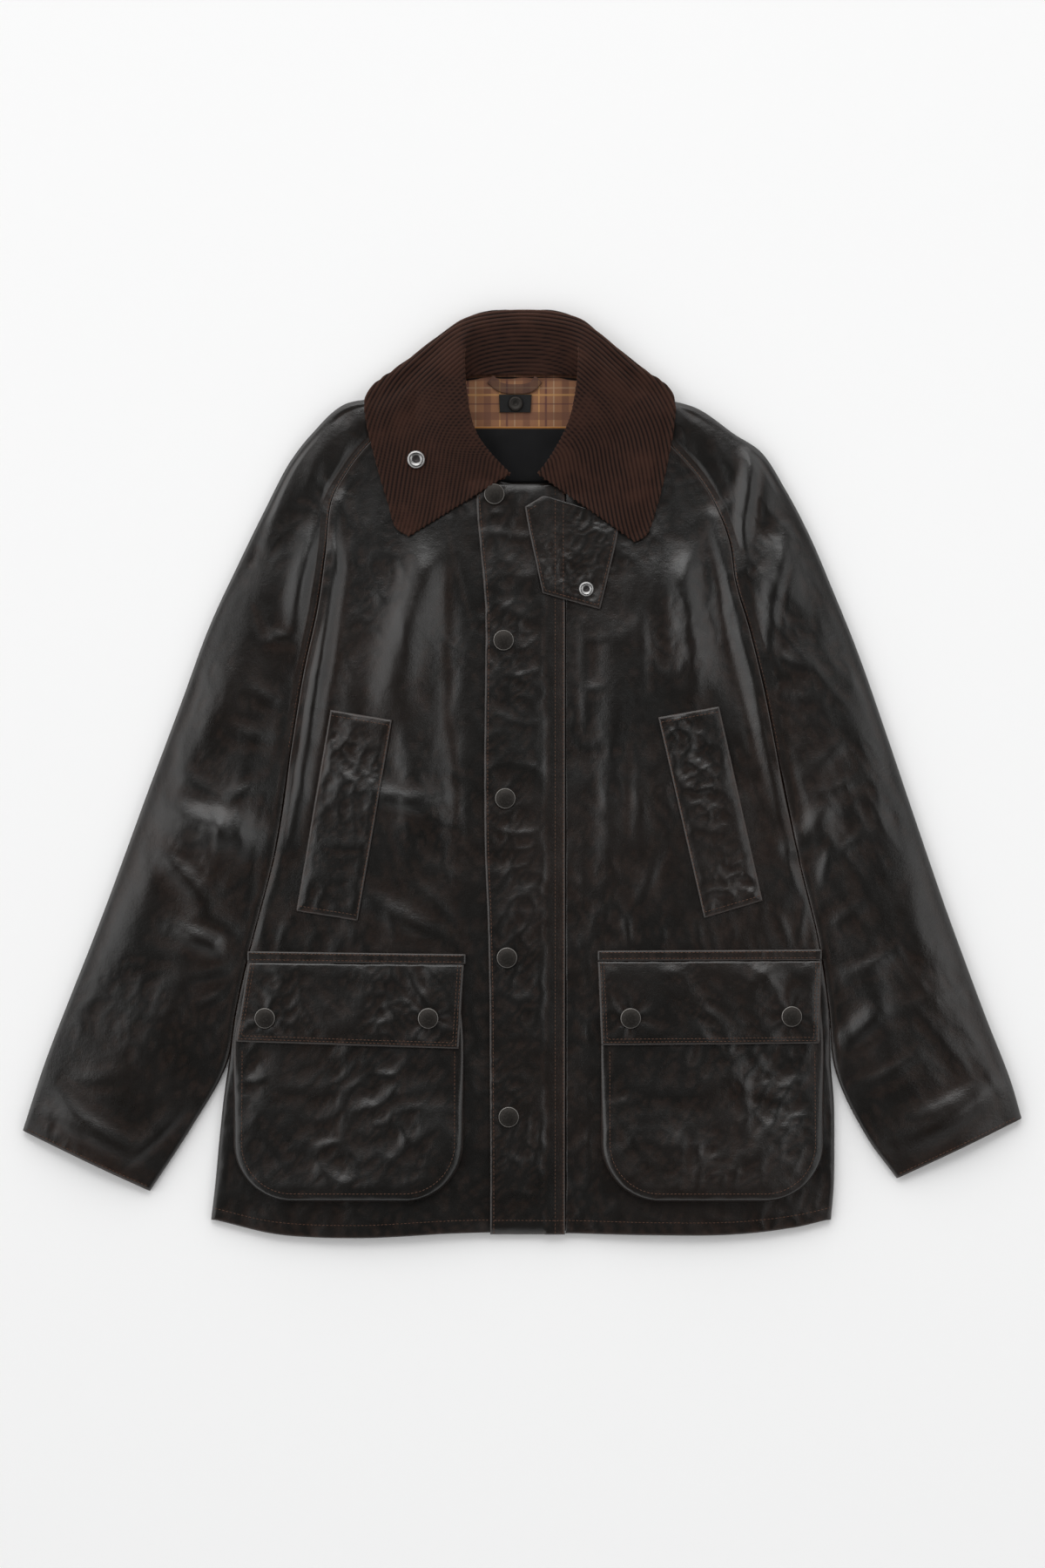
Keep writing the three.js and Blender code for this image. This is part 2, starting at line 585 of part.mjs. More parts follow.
// One sleeve: each section starts at the seam of the lower layer, runs out along the surface,
// folds over at the outer edge and comes back on top to the seam of the front.
function sleeve(name, table, mirrored) {
  const inner = curveOf(table.map((row) => ({ x: row.innerX, y: row.innerY })));
  const outer = curveOf(table.map((row) => ({ x: row.outerX, y: row.outerY })));
  const grid = evenly(STRIPS.sleeveRows, 1, 0).map((step) => {
    const from = inner.getPoint(step);
    const to = outer.getPoint(step);
    const width = from.distanceTo(to);
    const way = to.clone().sub(from).divideScalar(width);
    const floor = raised(from.y);
    const bend = rolledUnder(from.y);
    const seamTop = upperLevel(from.x, from.y);
    const middle = (floor + seamTop) / 2;
    const place = (distance, z) => new THREE.Vector3(from.x + way.x * distance, from.y + way.y * distance, z);
    const lowRoll = edgeRoll(bend, middle - floor - SEAM_GAP / 2);
    const topRoll = edgeRoll(bend, seamTop - middle - SEAM_GAP / 2);
    const lowReach = lowRoll.at(-1).out;
    const topReach = topRoll.at(-1).out;
    const edge = SLEEVE_EDGE / 2;
    const groundAt = (distance) => raised(from.y + way.y * distance);
    const low = lowRoll.slice(1).reverse().map(({ out, drop }) => place(lowReach - out, floor + drop));
    for (const part of evenly(STRIPS.sleeveFloor)) {
      const distance = mix(lowReach, width - edge, part);
      low.push(place(distance, groundAt(distance)));
    }
    const ground = groundAt(width - edge);
    const fold = [0.25, 0.5, 0.75].map((part) => {
      const angle = Math.PI * part;
      return place(width - edge + edge * Math.sin(angle), ground + edge - edge * Math.cos(angle));
    });
    const top = evenly(STRIPS.sleeveTop, 1, 0).map((part) => {
      const distance = mix(topReach, width - edge, part);
      const point = place(distance, 0);
      const swell = SLEEVE_SWELL * Math.min(1, width / FULL_SLEEVE) * Math.sin(Math.PI * part);
      const toEdge = (SLEEVE_EDGE - TOP_LEVEL) * part;
      const calm = mix(1, EDGE_FOLDS.share, ease(EDGE_FOLDS.from, 1, part));
      point.z = TOP_LEVEL + raised(point.y) + toEdge + swell + folds(point.x, point.y) * calm;
      return point;
    });
    const shift = seamTop - top.at(-1).z;
    top.forEach((point, index) => {
      point.z += shift * ease(0.5, 1, index / (top.length - 1));
    });
    const end = topRoll.slice(1).map(({ out, drop }) => place(topReach - out, seamTop - drop));
    return [...low, ...fold, ...top, ...end];
  });
  return wall(name, grid, WAXED_COTTON, waxedCotton, { mirrored });
}

// A piece laid on what is below it: each point rests on the highest place within its cell.
function laidOver(name, grid, thickness, material, [reachX, reachY], least = 0) {
  const resting = grid.map((row) =>
    row.map(({ x, y }) => {
      const base = Math.max(restHeight(x, y, reachX, reachY), least);
      return new THREE.Vector3(x, y, base + REST_GAP + thickness);
    }),
  );
  return lay(wall(name, resting, thickness, material, { down: true }));
}

const between = (left, right, columns) =>
  left.map((point, index) => evenly(columns).map((u) => ({
    x: mix(point.x, right[index].x, u),
    y: mix(point.y, right[index].y, u),
  })));

function fly() {
  const free = curveOf(FLY_EDGE);
  const rows = evenly(STRIPS.flyRows).map((v) => free.getPoint(v));
  const seam = rows.map(({ y }) => ({ x: FLY_SEAM_X, y }));
  const grid = between(rows, seam, STRIPS.flyColumns);
  return laidOver("fly", grid, DOUBLED_CLOTH, waxedCotton, [12, 12], TOP_LEVEL);
}

// Bellows pocket: the gusset stands up from the panel and the bag spans it. It rises most at its
// lower end, and under the flap it comes down to the panel.
function pocketBag(name, left, right) {
  const { height, corner, gusset, top, topRaise, lowRaise } = POCKET;
  const low = top - height;
  const shape = new THREE.Shape();
  shape.moveTo(left, top);
  shape.lineTo(left, low + corner);
  shape.quadraticCurveTo(left, low, left + corner, low);
  shape.lineTo(right - corner, low);
  shape.quadraticCurveTo(right, low, right, low + corner);
  shape.lineTo(right, top);
  shape.lineTo(left, top);
  const outline = shape.getSpacedPoints(STRIPS.bagEdge).slice(0, -1);
  const middle = { x: (left + right) / 2, y: top - height / 2 };
  const raiseAt = (y) => mix(lowRaise, topRaise, ease(low, top - FLAP_DROP, y));
  const ringAt = (inset, thickness, share) => outline.map(({ x, y }) => {
    const px = mix(x, middle.x, inset / ((right - left) / 2));
    const py = mix(y, middle.y, inset / (height / 2));
    return new THREE.Vector3(px, py, restHeight(px, py, 8) + REST_GAP + thickness + raiseAt(py) * share);
  });
  const foot = ringAt(-gusset / 2, 0, 0);
  const rings = BULGE.map(({ inset, share }) => ringAt(inset, WAXED_COTTON, share));
  return lay(ringWall(name, [foot, ...rings], WAXED_COTTON, waxedCotton));
}

// Four-sided pieces of cloth, from their left and right edges.
// reach: how far round each point the piece feels for what it lies on, along X and along Y.
const PLATES = {
  lining_yoke: {
    leftTopX: -66, leftTopY: 344.5, rightTopX: 66, rightTopY: 344.5,
    leftLowX: -30, leftLowY: 256, rightLowX: 28, rightLowY: 256,
    thickness: LINING, rows: 6, columns: 6, reach: [14, 14],
  },
  label: {
    leftTopX: -47, leftTopY: 302, rightTopX: 42, rightTopY: 302,
    leftLowX: -36, leftLowY: 254, rightLowX: 36, rightLowY: 254,
    thickness: LABEL, rows: 3, columns: 4, reach: [12, 12],
  },
  tape_tab: {
    leftTopX: -20.5, leftTopY: 330, rightTopX: 8, rightTopY: 330,
    leftLowX: -20, leftLowY: 314.5, rightLowX: 7, rightLowY: 314.5,
    thickness: TAPE, rows: 1, columns: 2, reach: [8, 8],
  },
  handwarmer_right: {
    leftTopX: -167, leftTopY: 55.5, rightTopX: -113.5, rightTopY: 46.5,
    leftLowX: -197, leftLowY: -119.5, rightLowX: -143.5, rightLowY: -128,
    thickness: WAXED_COTTON, rows: 8, columns: 3, reach: [13, 13],
  },
  handwarmer_left: {
    leftTopX: 118, leftTopY: 49, rightTopX: 171, rightTopY: 58.5,
    leftLowX: 158, leftLowY: -125.5, rightLowX: 209, rightLowY: -110.5,
    thickness: WAXED_COTTON, rows: 8, columns: 3, reach: [13, 13],
  },
  flap_right: {
    leftTopX: -238.5, leftTopY: -164.3, rightTopX: -51, rightTopY: -166,
    leftLowX: -249.5, leftLowY: -233, rightLowX: -55.5, rightLowY: -239,
    thickness: DOUBLED_CLOTH, rows: 5, columns: 10, reach: [11, 9],
  },
  flap_left: {
    leftTopX: 65.5, leftTopY: -163.3, rightTopX: 260.5, rightTopY: -162.7,
    leftLowX: 68.5, leftLowY: -236, rightLowX: 258.5, rightLowY: -234.5,
    thickness: DOUBLED_CLOTH, rows: 5, columns: 10, reach: [11, 9],
  },
  pocket_band_right: {
    leftTopX: -239.5, leftTopY: -154.5, rightTopX: -49.5, rightTopY: -157,
    leftLowX: -239.5, leftLowY: -163.5, rightLowX: -49.5, rightLowY: -165.5,
    thickness: DOUBLED_CLOTH, rows: 1, columns: 10, reach: [10, 2],
  },
  pocket_band_left: {
    leftTopX: 65.5, leftTopY: -154, rightTopX: 260.5, rightTopY: -153,
    leftLowX: 65.5, leftLowY: -162.5, rightLowX: 260.5, rightLowY: -162,
    thickness: DOUBLED_CLOTH, rows: 1, columns: 10, reach: [10, 2],
  },
};

function plate(name, material) {
  const { thickness, rows, columns, reach, ...at } = PLATES[name];
  const edge = (topX, topY, lowX, lowY) =>
    evenly(rows).map((v) => ({ x: mix(lowX, topX, v), y: mix(lowY, topY, v) }));
  const left = edge(at.leftTopX, at.leftTopY, at.leftLowX, at.leftLowY);
  const right = edge(at.rightTopX, at.rightTopY, at.rightLowX, at.rightLowY);
  return laidOver(name, between(left, right, columns), thickness, material, reach);
}

// A turned piece, seated on what lies under most of its width.
const SEAT_SHARE = 0.75;

function turned(name, profile, x, y, material) {
  const outline = profile.map(([radius, z]) => new THREE.Vector2(radius, z));
  const geometry = new THREE.LatheGeometry(outline, STRIPS.turned);
  geometry.rotateX(Math.PI / 2);
  const mesh = new THREE.Mesh(geometry, material);
  mesh.name = name;
  const reach = SEAT_SHARE * Math.max(...profile.map(([radius]) => radius));
  mesh.position.set(x, y, restHeight(x, y, reach) + REST_GAP);
  return mesh;
}

function snapCap(name, x, y) {
  const { radius, height } = CAP;
  const profile = [
    [0, 0],
    [radius * 0.9, 0],
    [radius, height * 0.3],
    [radius * 0.8, height * 0.8],
    [radius * 0.4, height],
    [0, height],
  ];
  return turned(name, profile, x, y, capLacquer);
}

// A ring stud: a dished rim round a deep middle.
function stud(name, { radius, hole, height }, x, y, material) {
  const profile = [
    [0, 0],
    [radius, 0],
    [radius, height * 0.5],
    [radius * 0.75, height],
    [hole, height * 0.7],
    [hole * 0.8, height * 0.35],
    [0, height * 0.35],
  ];
  return turned(name, profile, x, y, material);
}

// The throat tab's two long edges, from its free end up to where the collar covers it.
const TAB_EDGES = [
  { leftX: 17.5, leftY: 157, rightX: 67.5, rightY: 143 },
  { leftX: 11.5, leftY: 184.5, rightX: 74.5, rightY: 171.5 },
  { leftX: 5.5, leftY: 211.5, rightX: 81.5, rightY: 200.5 },
  { leftX: 2, leftY: 232, rightX: 84, rightY: 214 },
  { leftX: 20, leftY: 243, rightX: 74, rightY: 226 },
];

function throatTab() {
  const left = TAB_EDGES.map(({ leftX, leftY }) => ({ x: leftX, y: leftY }));
  const right = TAB_EDGES.map(({ rightX, rightY }) => ({ x: rightX, y: rightY }));
  const grid = between(left, right, STRIPS.tabColumns);
  return laidOver("throat_tab", grid, DOUBLED_CLOTH, waxedCotton, [8, 8], TOP_LEVEL);
}

// The collar: one wall from the neck seam up the stand, over the roll and down the fall.
function collar() {
  const sections = COLLAR.map((row) => {
    const roll = new THREE.Vector3(row.rollX, row.rollY, row.rollZ);
    const far = new THREE.Vector3(row.farX, row.farY, 0);
    const neck = new THREE.Vector3(row.neckX, row.neckY, TOP_LEVEL + raised(row.neckY) - 1);
    const reach = Math.hypot(far.x - roll.x, far.y - roll.y);
    const inwards = Math.min(FALL_FOLD_RADIUS, reach * 0.5) / reach;
    const under = new THREE.Vector3(row.underX, row.underY, 0);
    const wing = () => [
      roll.clone().lerp(far, 0.3).setZ(roll.z - 3),
      roll.clone().lerp(far, 0.6).setZ(WING_LEVEL + 1),
      roll.clone().lerp(far, 0.85).setZ(WING_LEVEL),
      far.clone().setZ(WING_LEVEL),
    ];
    const fall = () => [
      far.clone().lerp(roll, inwards).setZ(roll.z - 2),
      far.clone().setZ(FALL_FOLD_RADIUS),
      far.clone().lerp(under, 0.08).setZ(0),
      under,
    ];
    const points = [neck, roll, ...(row.underX === undefined ? wing() : fall())];
    return softCurve(points).getPoints(STRIPS.collar).map((point) => {
      if (point.z < TOP_LEVEL) return point.setZ(Math.max(point.z, 0));
      return point.setZ(Math.max(point.z, restHeight(point.x, point.y, 9) + 2 * REST_GAP + CORDUROY));
    });
  });
  const grid = sections[0].map((_, across) => sections.map((section) => section[across]));
  return lay(wall("collar", grid, CORDUROY, corduroy));
}

function hangLoop() {
  const level = restHeight(-6, 340, 8) + REST_GAP + LOOP.thick / 2;
  const route = curveOf([
    { x: -29, y: 342.5, z: level },
    { x: -20, y: 335.5, z: level },
    { x: -6, y: 333.5, z: level },
    { x: 8, y: 335.5, z: level },
    { x: 15, y: 342.5, z: level },
  ]);
  const section = new THREE.Shape();
  section.ellipse(0, 0, LOOP.thick / 2, LOOP.wide / 2);
  const geometry = new THREE.ExtrudeGeometry(section, {
    steps: STRIPS.loop,
    extrudePath: route,
    curveSegments: STRIPS.loopRing,
    bevelEnabled: false,
  });
  const mesh = new THREE.Mesh(geometry, check);
  mesh.name = "hang_loop";
  return mesh;
}

const FLY_SNAPS = [
  { x: -24.5, y: 243 },
  { x: -16.5, y: 116 },
  { x: -15, y: -21.5 },
  { x: -13.5, y: -160 },
  { x: -12, y: -298.5 },
];
const FLAP_SNAPS = [
  { x: -224, y: -212.5 },
  { x: -82, y: -212.5 },
  { x: 94, y: -212.5 },
  { x: 234, y: -211 },
];

// The pieces in the order in which they lie on each other.
const jacket = new THREE.Group();

jacket.add(lay(back()));
jacket.add(plate("lining_yoke", check), plate("label", blackTape), plate("tape_tab", blackTape));
jacket.add(hangLoop());
jacket.add(stud("tape_stud", STUD, -6, 322, blackTape));

jacket.add(lay(front("front_right", RIGHT_SLEEVE, RIGHT_SIDE, RIGHT_HEM, RIGHT_NECK, UNDER_FLY_X, -1)));
jacket.add(lay(front("front_left", LEFT_SLEEVE, LEFT_SIDE, LEFT_HEM, LEFT_NECK, FLY_SEAM_X + SEAM_GAP, 1)));
jacket.add(lay(sleeve("sleeve_right", RIGHT_SLEEVE, false)));
jacket.add(lay(sleeve("sleeve_left", LEFT_SLEEVE, true)));
jacket.add(fly());

jacket.add(plate("handwarmer_right", waxedCotton), plate("handwarmer_left", waxedCotton));
jacket.add(pocketBag("pocket_right", -248.5, -54.5), pocketBag("pocket_left", 71.5, 259));
jacket.add(plate("flap_right", waxedCotton), plate("flap_left", waxedCotton));
jacket.add(plate("pocket_band_right", waxedCotton), plate("pocket_band_left", waxedCotton));
jacket.add(throatTab());

FLY_SNAPS.forEach(({ x, y }, index) => jacket.add(lay(snapCap(`fly_snap_${index + 1}`, x, y))));
jacket.add(collar());
FLAP_SNAPS.forEach(({ x, y }, index) => jacket.add(snapCap(`flap_snap_${index + 1}`, x, y)));
jacket.add(stud("tab_socket", STUD, 55.5, 160.5, silver));
jacket.add(stud("collar_stud", WING_STUD, -92.5, 273, silver));

export default jacket;
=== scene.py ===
"""Looks of a waxed cotton jacket with a corduroy collar, fastened and laid on its back."""

import math

import bpy
import numpy as np
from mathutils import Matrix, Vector


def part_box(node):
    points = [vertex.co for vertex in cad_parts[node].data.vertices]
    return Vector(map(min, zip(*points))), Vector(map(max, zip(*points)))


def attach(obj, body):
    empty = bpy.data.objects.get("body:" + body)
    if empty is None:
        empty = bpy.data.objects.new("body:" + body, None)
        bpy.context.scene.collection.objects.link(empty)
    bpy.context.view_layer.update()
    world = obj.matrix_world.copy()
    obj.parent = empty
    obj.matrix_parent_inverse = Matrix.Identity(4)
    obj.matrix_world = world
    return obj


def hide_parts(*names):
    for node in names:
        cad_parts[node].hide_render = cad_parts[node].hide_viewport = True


bl_info = {
    "name": "Waxed cotton jacket",
    "version": (1, 0, 0),
    "blender": (4, 5, 0),
    "location": "3D View > Sidebar > Jacket",
    "description": "Builds a waxed cotton jacket laid on a pale floor",
    "category": "Object",
}

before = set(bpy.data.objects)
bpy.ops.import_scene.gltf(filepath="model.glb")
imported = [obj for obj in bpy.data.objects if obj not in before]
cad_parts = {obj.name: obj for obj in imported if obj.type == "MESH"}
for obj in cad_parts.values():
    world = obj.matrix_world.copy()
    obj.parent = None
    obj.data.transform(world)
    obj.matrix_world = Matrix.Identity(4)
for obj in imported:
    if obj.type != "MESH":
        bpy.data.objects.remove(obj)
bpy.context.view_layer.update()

# Tables are in millimetres, in the frame of the solids
MM = 0.001
TOP_LEVEL = 7.0
BODY_SWELL = 3.0
SLEEVE_SWELL = 5.0
SLEEVE_EDGE = 8.0
FULL_SLEEVE = 110.0
UNDERARM_Y = 6.0
NOTCH = 10.0
FALL_UNDER_NECK = 2.9
FALL_RAMP = (250.0, 308.0)
FALL_FOLD_RADIUS = 5.5
WING_LEVEL = 10.0
FLY_SEAM_X = 37.0
UNDER_FLY_X = 24.0
BRIDGE = 18.0
SEAM_GAP = 0.5
REST_GAP = 0.3
EDGE_DROP = 0.12
CREASE_PRESS = 0.35
FRONT_SIZE = (300.0, 745.0)
BACK_SIZE = (540.0, 745.0)
SLEEVE_SIZE = (170.0, 760.0)
FLY_SIZE = (72.0, 655.0)
BRIDGE_RISE = 1.3
BAG_LIFT = (0.4, 9.0)
BAG_CELL = 2.2
SHOULDER_PASSES = 12

# Added to x or y, so that the place along a seam starts above zero
PAST_SIDE = 300
PAST_HEM = 420

# How worn an edge is, and how far in from it the wear reaches
EDGE_WEAR = 0.85
WEAR_REACH = 2.6
ALL_EDGES = ["first", "last", "low", "high"]
OPEN_EDGES = ["first", "last", "low"]

# Sleeve sections from neck to cuff: inner x, inner y, outer x, outer y
RIGHT_SLEEVE = [
    (-82, 335, -77, 357), (-114, 306.5, -110, 331), (-140, 281, -156, 321),
    (-156, 259, -182.5, 297), (-166.5, 238, -203, 271), (-172, 189, -225, 229),
    (-178.5, 143.5, -247, 184), (-191, 86, -273, 128), (-201.5, 21.5, -297, 63),
    (-214.5, -62.5, -327, -17), (-239, -158.5, -360, -107), (-250, -208, -376.5, -150),
    (-258, -254, -394, -194), (-289.5, -310, -416, -251), (-324.5, -363.5, -435.5, -310.5),
]
LEFT_SLEEVE = [
    (80, 335, 77, 356), (106, 309.5, 105, 332), (131, 284, 152, 318),
    (153.5, 258.5, 184, 296), (167, 237, 208, 280), (180, 203, 229, 248),
    (186, 165, 250, 208), (198, 124, 270, 161), (212, 65, 292, 106.5),
    (225.5, -3, 316, 38), (241, -75, 341, -36), (258, -145, 367, -112),
    (267, -204, 387, -167), (273, -260, 405, -215), (299, -315, 425, -266),
    (326, -352.5, 435, -300),
]

# Side seams from the hem up, hems, neck edges and the fly's free edge: x, y
RIGHT_SIDE = [(-272, -388.5), (-268.5, -358.5), (-265, -320.5), (-260.5, -278.5), (-255.5, -246)]
LEFT_SIDE = [(269.5, -388.5), (272, -358.5), (272.5, -320.5), (272, -285), (269, -250)]
RIGHT_HEM = [(-272, -388.5), (-216, -401), (-143, -404), (-60, -400), (24, -398.5)]
LEFT_HEM = [(37.4, -400), (112, -401.5), (185, -401), (240, -395), (269.5, -388.5)]
RIGHT_NECK = [(-82, 335), (-66, 308), (-57, 286), (-43, 269), (-20, 254), (24, 250)]
LEFT_NECK = [(37.4, 250), (47, 267), (57, 286), (65, 308), (80, 335)]
BACK_NECK = [(-82, 335), (-62, 341.5), (-40, 345), (0, 345.5), (40, 345), (62, 341.5), (80, 335)]
FLY_EDGE = [
    (-28, -401), (-28, -330), (-28.4, -260), (-28.8, -191), (-30.4, -122), (-32.7, -66), (-33.3, 0),
    (-32.8, 60), (-32.5, 143), (-35.6, 184), (-39.5, 226), (-41, 252),
]

# Collar sections from the front end of one wing round the back to the other:
# neck x, neck y, roll x, roll y, roll z, far x, far y, under x, under y
COLLAR_WINGS = [
    (-17.5, 257, -10.5, 261, 15, -99, 206.5), (-26, 262, -17, 267, 16, -110, 214),
    (-40, 273, -27, 277.5, 18, -117, 236), (-50, 288, -38.5, 293, 20, -123.5, 257),
    (-56, 305, -45, 310.5, 22, -130, 281), (-60, 321, -48, 329, 23, -135.5, 305),
    (-60, 332, -50, 347, 23, -137, 327),
    (-59, 336, -50.5, 355, 23, -129, 339.5, -128, 337.5),
    (-57, 340, -51, 363, 22, -112, 352, -110, 322),
    (-53, 344, -50, 376, 19, -82, 374.5, -80, 314),
    (-40, 347, -42, 388, 16, -51, 396, -46, 316),
    (-22, 347.5, -24, 391, 15, -27, 403.5, -24, 320),
    (0, 347.5, 0, 391, 15, 0, 404, 0, 322),
    (22, 347.5, 24, 391, 15, 27, 403.5, 24, 320),
    (40, 347, 42, 388, 16, 51, 395.5, 46, 316),
    (52, 344, 49, 376, 19, 80, 373.5, 80, 314),
    (56, 339, 49, 362, 22, 108, 350.5, 108, 322),
    (58, 336, 48.5, 355, 23, 125, 339, 124, 337),
    (59, 332, 48, 348, 23, 132.5, 325),
    (58, 319, 46, 332, 23, 131.5, 302), (55, 303, 42, 312, 22, 127.5, 278),
    (49, 288, 35, 294, 20, 122, 252), (40, 273, 27, 280, 18, 116, 230),
    (30, 262, 19, 268, 16, 108, 208), (20, 257, 13, 261, 15, 98, 201.5),
]

# The line that the wales of the collar run along: x, y
WALE_LINE = [
    (-172, 175), (-152, 225), (-142, 275), (-134, 310), (-117, 342), (-92, 368), (-55, 395), (0, 405),
    (55, 395), (92, 368), (117, 342), (134, 310), (142, 275), (152, 225), (172, 175),
]

# Main folds, nearly as in the solids: start x, start y, middle x, middle y, end x, end y, rise, width
MAIN_FOLDS = [
    (-160, 236, -166, 148, -202, -60, 7, 9), (-76, 205, -96, 138, -119, 50, 6, 18),
    (-104, 75, -86, 20, -88, -60, 4, 22), (-68, 190, -57, 80, -53, -150, -2, 12),
    (-160, -5, -115, -30, -70, -22, 3.5, 9), (-138, -108, -103, -128, -66, -146, 3, 9),
    (167, 222, 186, 150, 233, -65, 7, 9), (133, 212, 140, 158, 152, 85, 6, 16),
    (52, 134, 47, 81, 53, 22, 4, 7), (80, 186, 86, 60, 67, -146, 2.6, 15),
    (60, 64, 68, -40, 57, -140, -0.6, 10), (-177, 224, -199, 160, -197, 120, 5, 9),
    (-306, -34, -265, -48, -226, -66, 6, 16), (-310, -72, -292, -92, -276, -112, 4, 9),
    (-305, -135, -270, -148, -241, -160, 4, 10), (-413, -273, -384, -312, -334, -330, 4, 11),
    (203, 290, 192, 235, 190, 175, 5, 8), (227, 206, 219, 165, 209, 80, 5, 11),
    (268, -30, 252, -46, 236, -66, 4, 10), (310, -208, 295, -222, 276, -240, 4, 10),
    (326, -322, 372, -306, 420, -262, 5, 14),
]

# Longer soft folds that lie on them, the same columns
LONG_FOLDS = [
    (-70, 196, -62, 60, -54, -150, -1.6, 9), (-84, 200, -104, 140, -122, 66, 2, 10),
    (-146, 120, -150, 20, -176, -110, 2, 12), (-128, 40, -122, -40, -136, -130, 1.6, 13),
    (-104, 70, -92, -10, -104, -110, 1.6, 10), (-60, 60, -66, -30, -58, -140, 1.4, 8),
    (-182, 160, -190, 60, -214, -60, 1.4, 9), (-222, -60, -232, -110, -236, -150, 1.6, 12),
    (112, 200, 104, 130, 96, 40, 2.2, 14), (62, 88, 58, 50, 60, 8, 1.0, 10),
    (140, 205, 150, 120, 148, 40, 2, 12), (120, 60, 126, 0, 120, -60, 1.4, 14),
    (106, 60, 100, -40, 110, -140, 1.6, 10), (160, 100, 176, 60, 196, 0, 1.6, 10),
    (150, -20, 146, -80, 158, -146, 1.3, 10), (196, 60, 214, -20, 232, -110, 1.6, 10),
    (60, -180, 56, -280, 60, -390, 1.6, 8), (-46, -170, -42, -280, -46, -390, 1.4, 6),
    (-226, 190, -244, 90, -286, -10, 2, 14), (-250, 150, -276, 40, -322, -70, 1.6, 16),
    (-226, 60, -246, -30, -276, -120, 1.8, 13), (-300, -30, -322, -110, -356, -190, 1.8, 16),
    (-276, -110, -296, -190, -330, -260, 2, 14), (-330, -90, -356, -160, -396, -236, 1.4, 14),
    (-190, 280, -214, 244, -232, 196, 1.6, 13), (-142, 292, -160, 262, -176, 214, 1.4, 10),
    (230, 200, 246, 100, 268, 0, 2, 14), (262, 160, 286, 60, 316, -40, 1.6, 16),
    (244, 20, 262, -60, 286, -140, 2, 13), (318, -30, 340, -110, 366, -190, 1.6, 16),
    (290, -120, 306, -200, 330, -290, 2, 14), (340, -160, 366, -220, 400, -270, 1.4, 14),
    (190, 284, 206, 252, 224, 210, 1.6, 13), (140, 296, 158, 264, 172, 220, 1.4, 10),
]

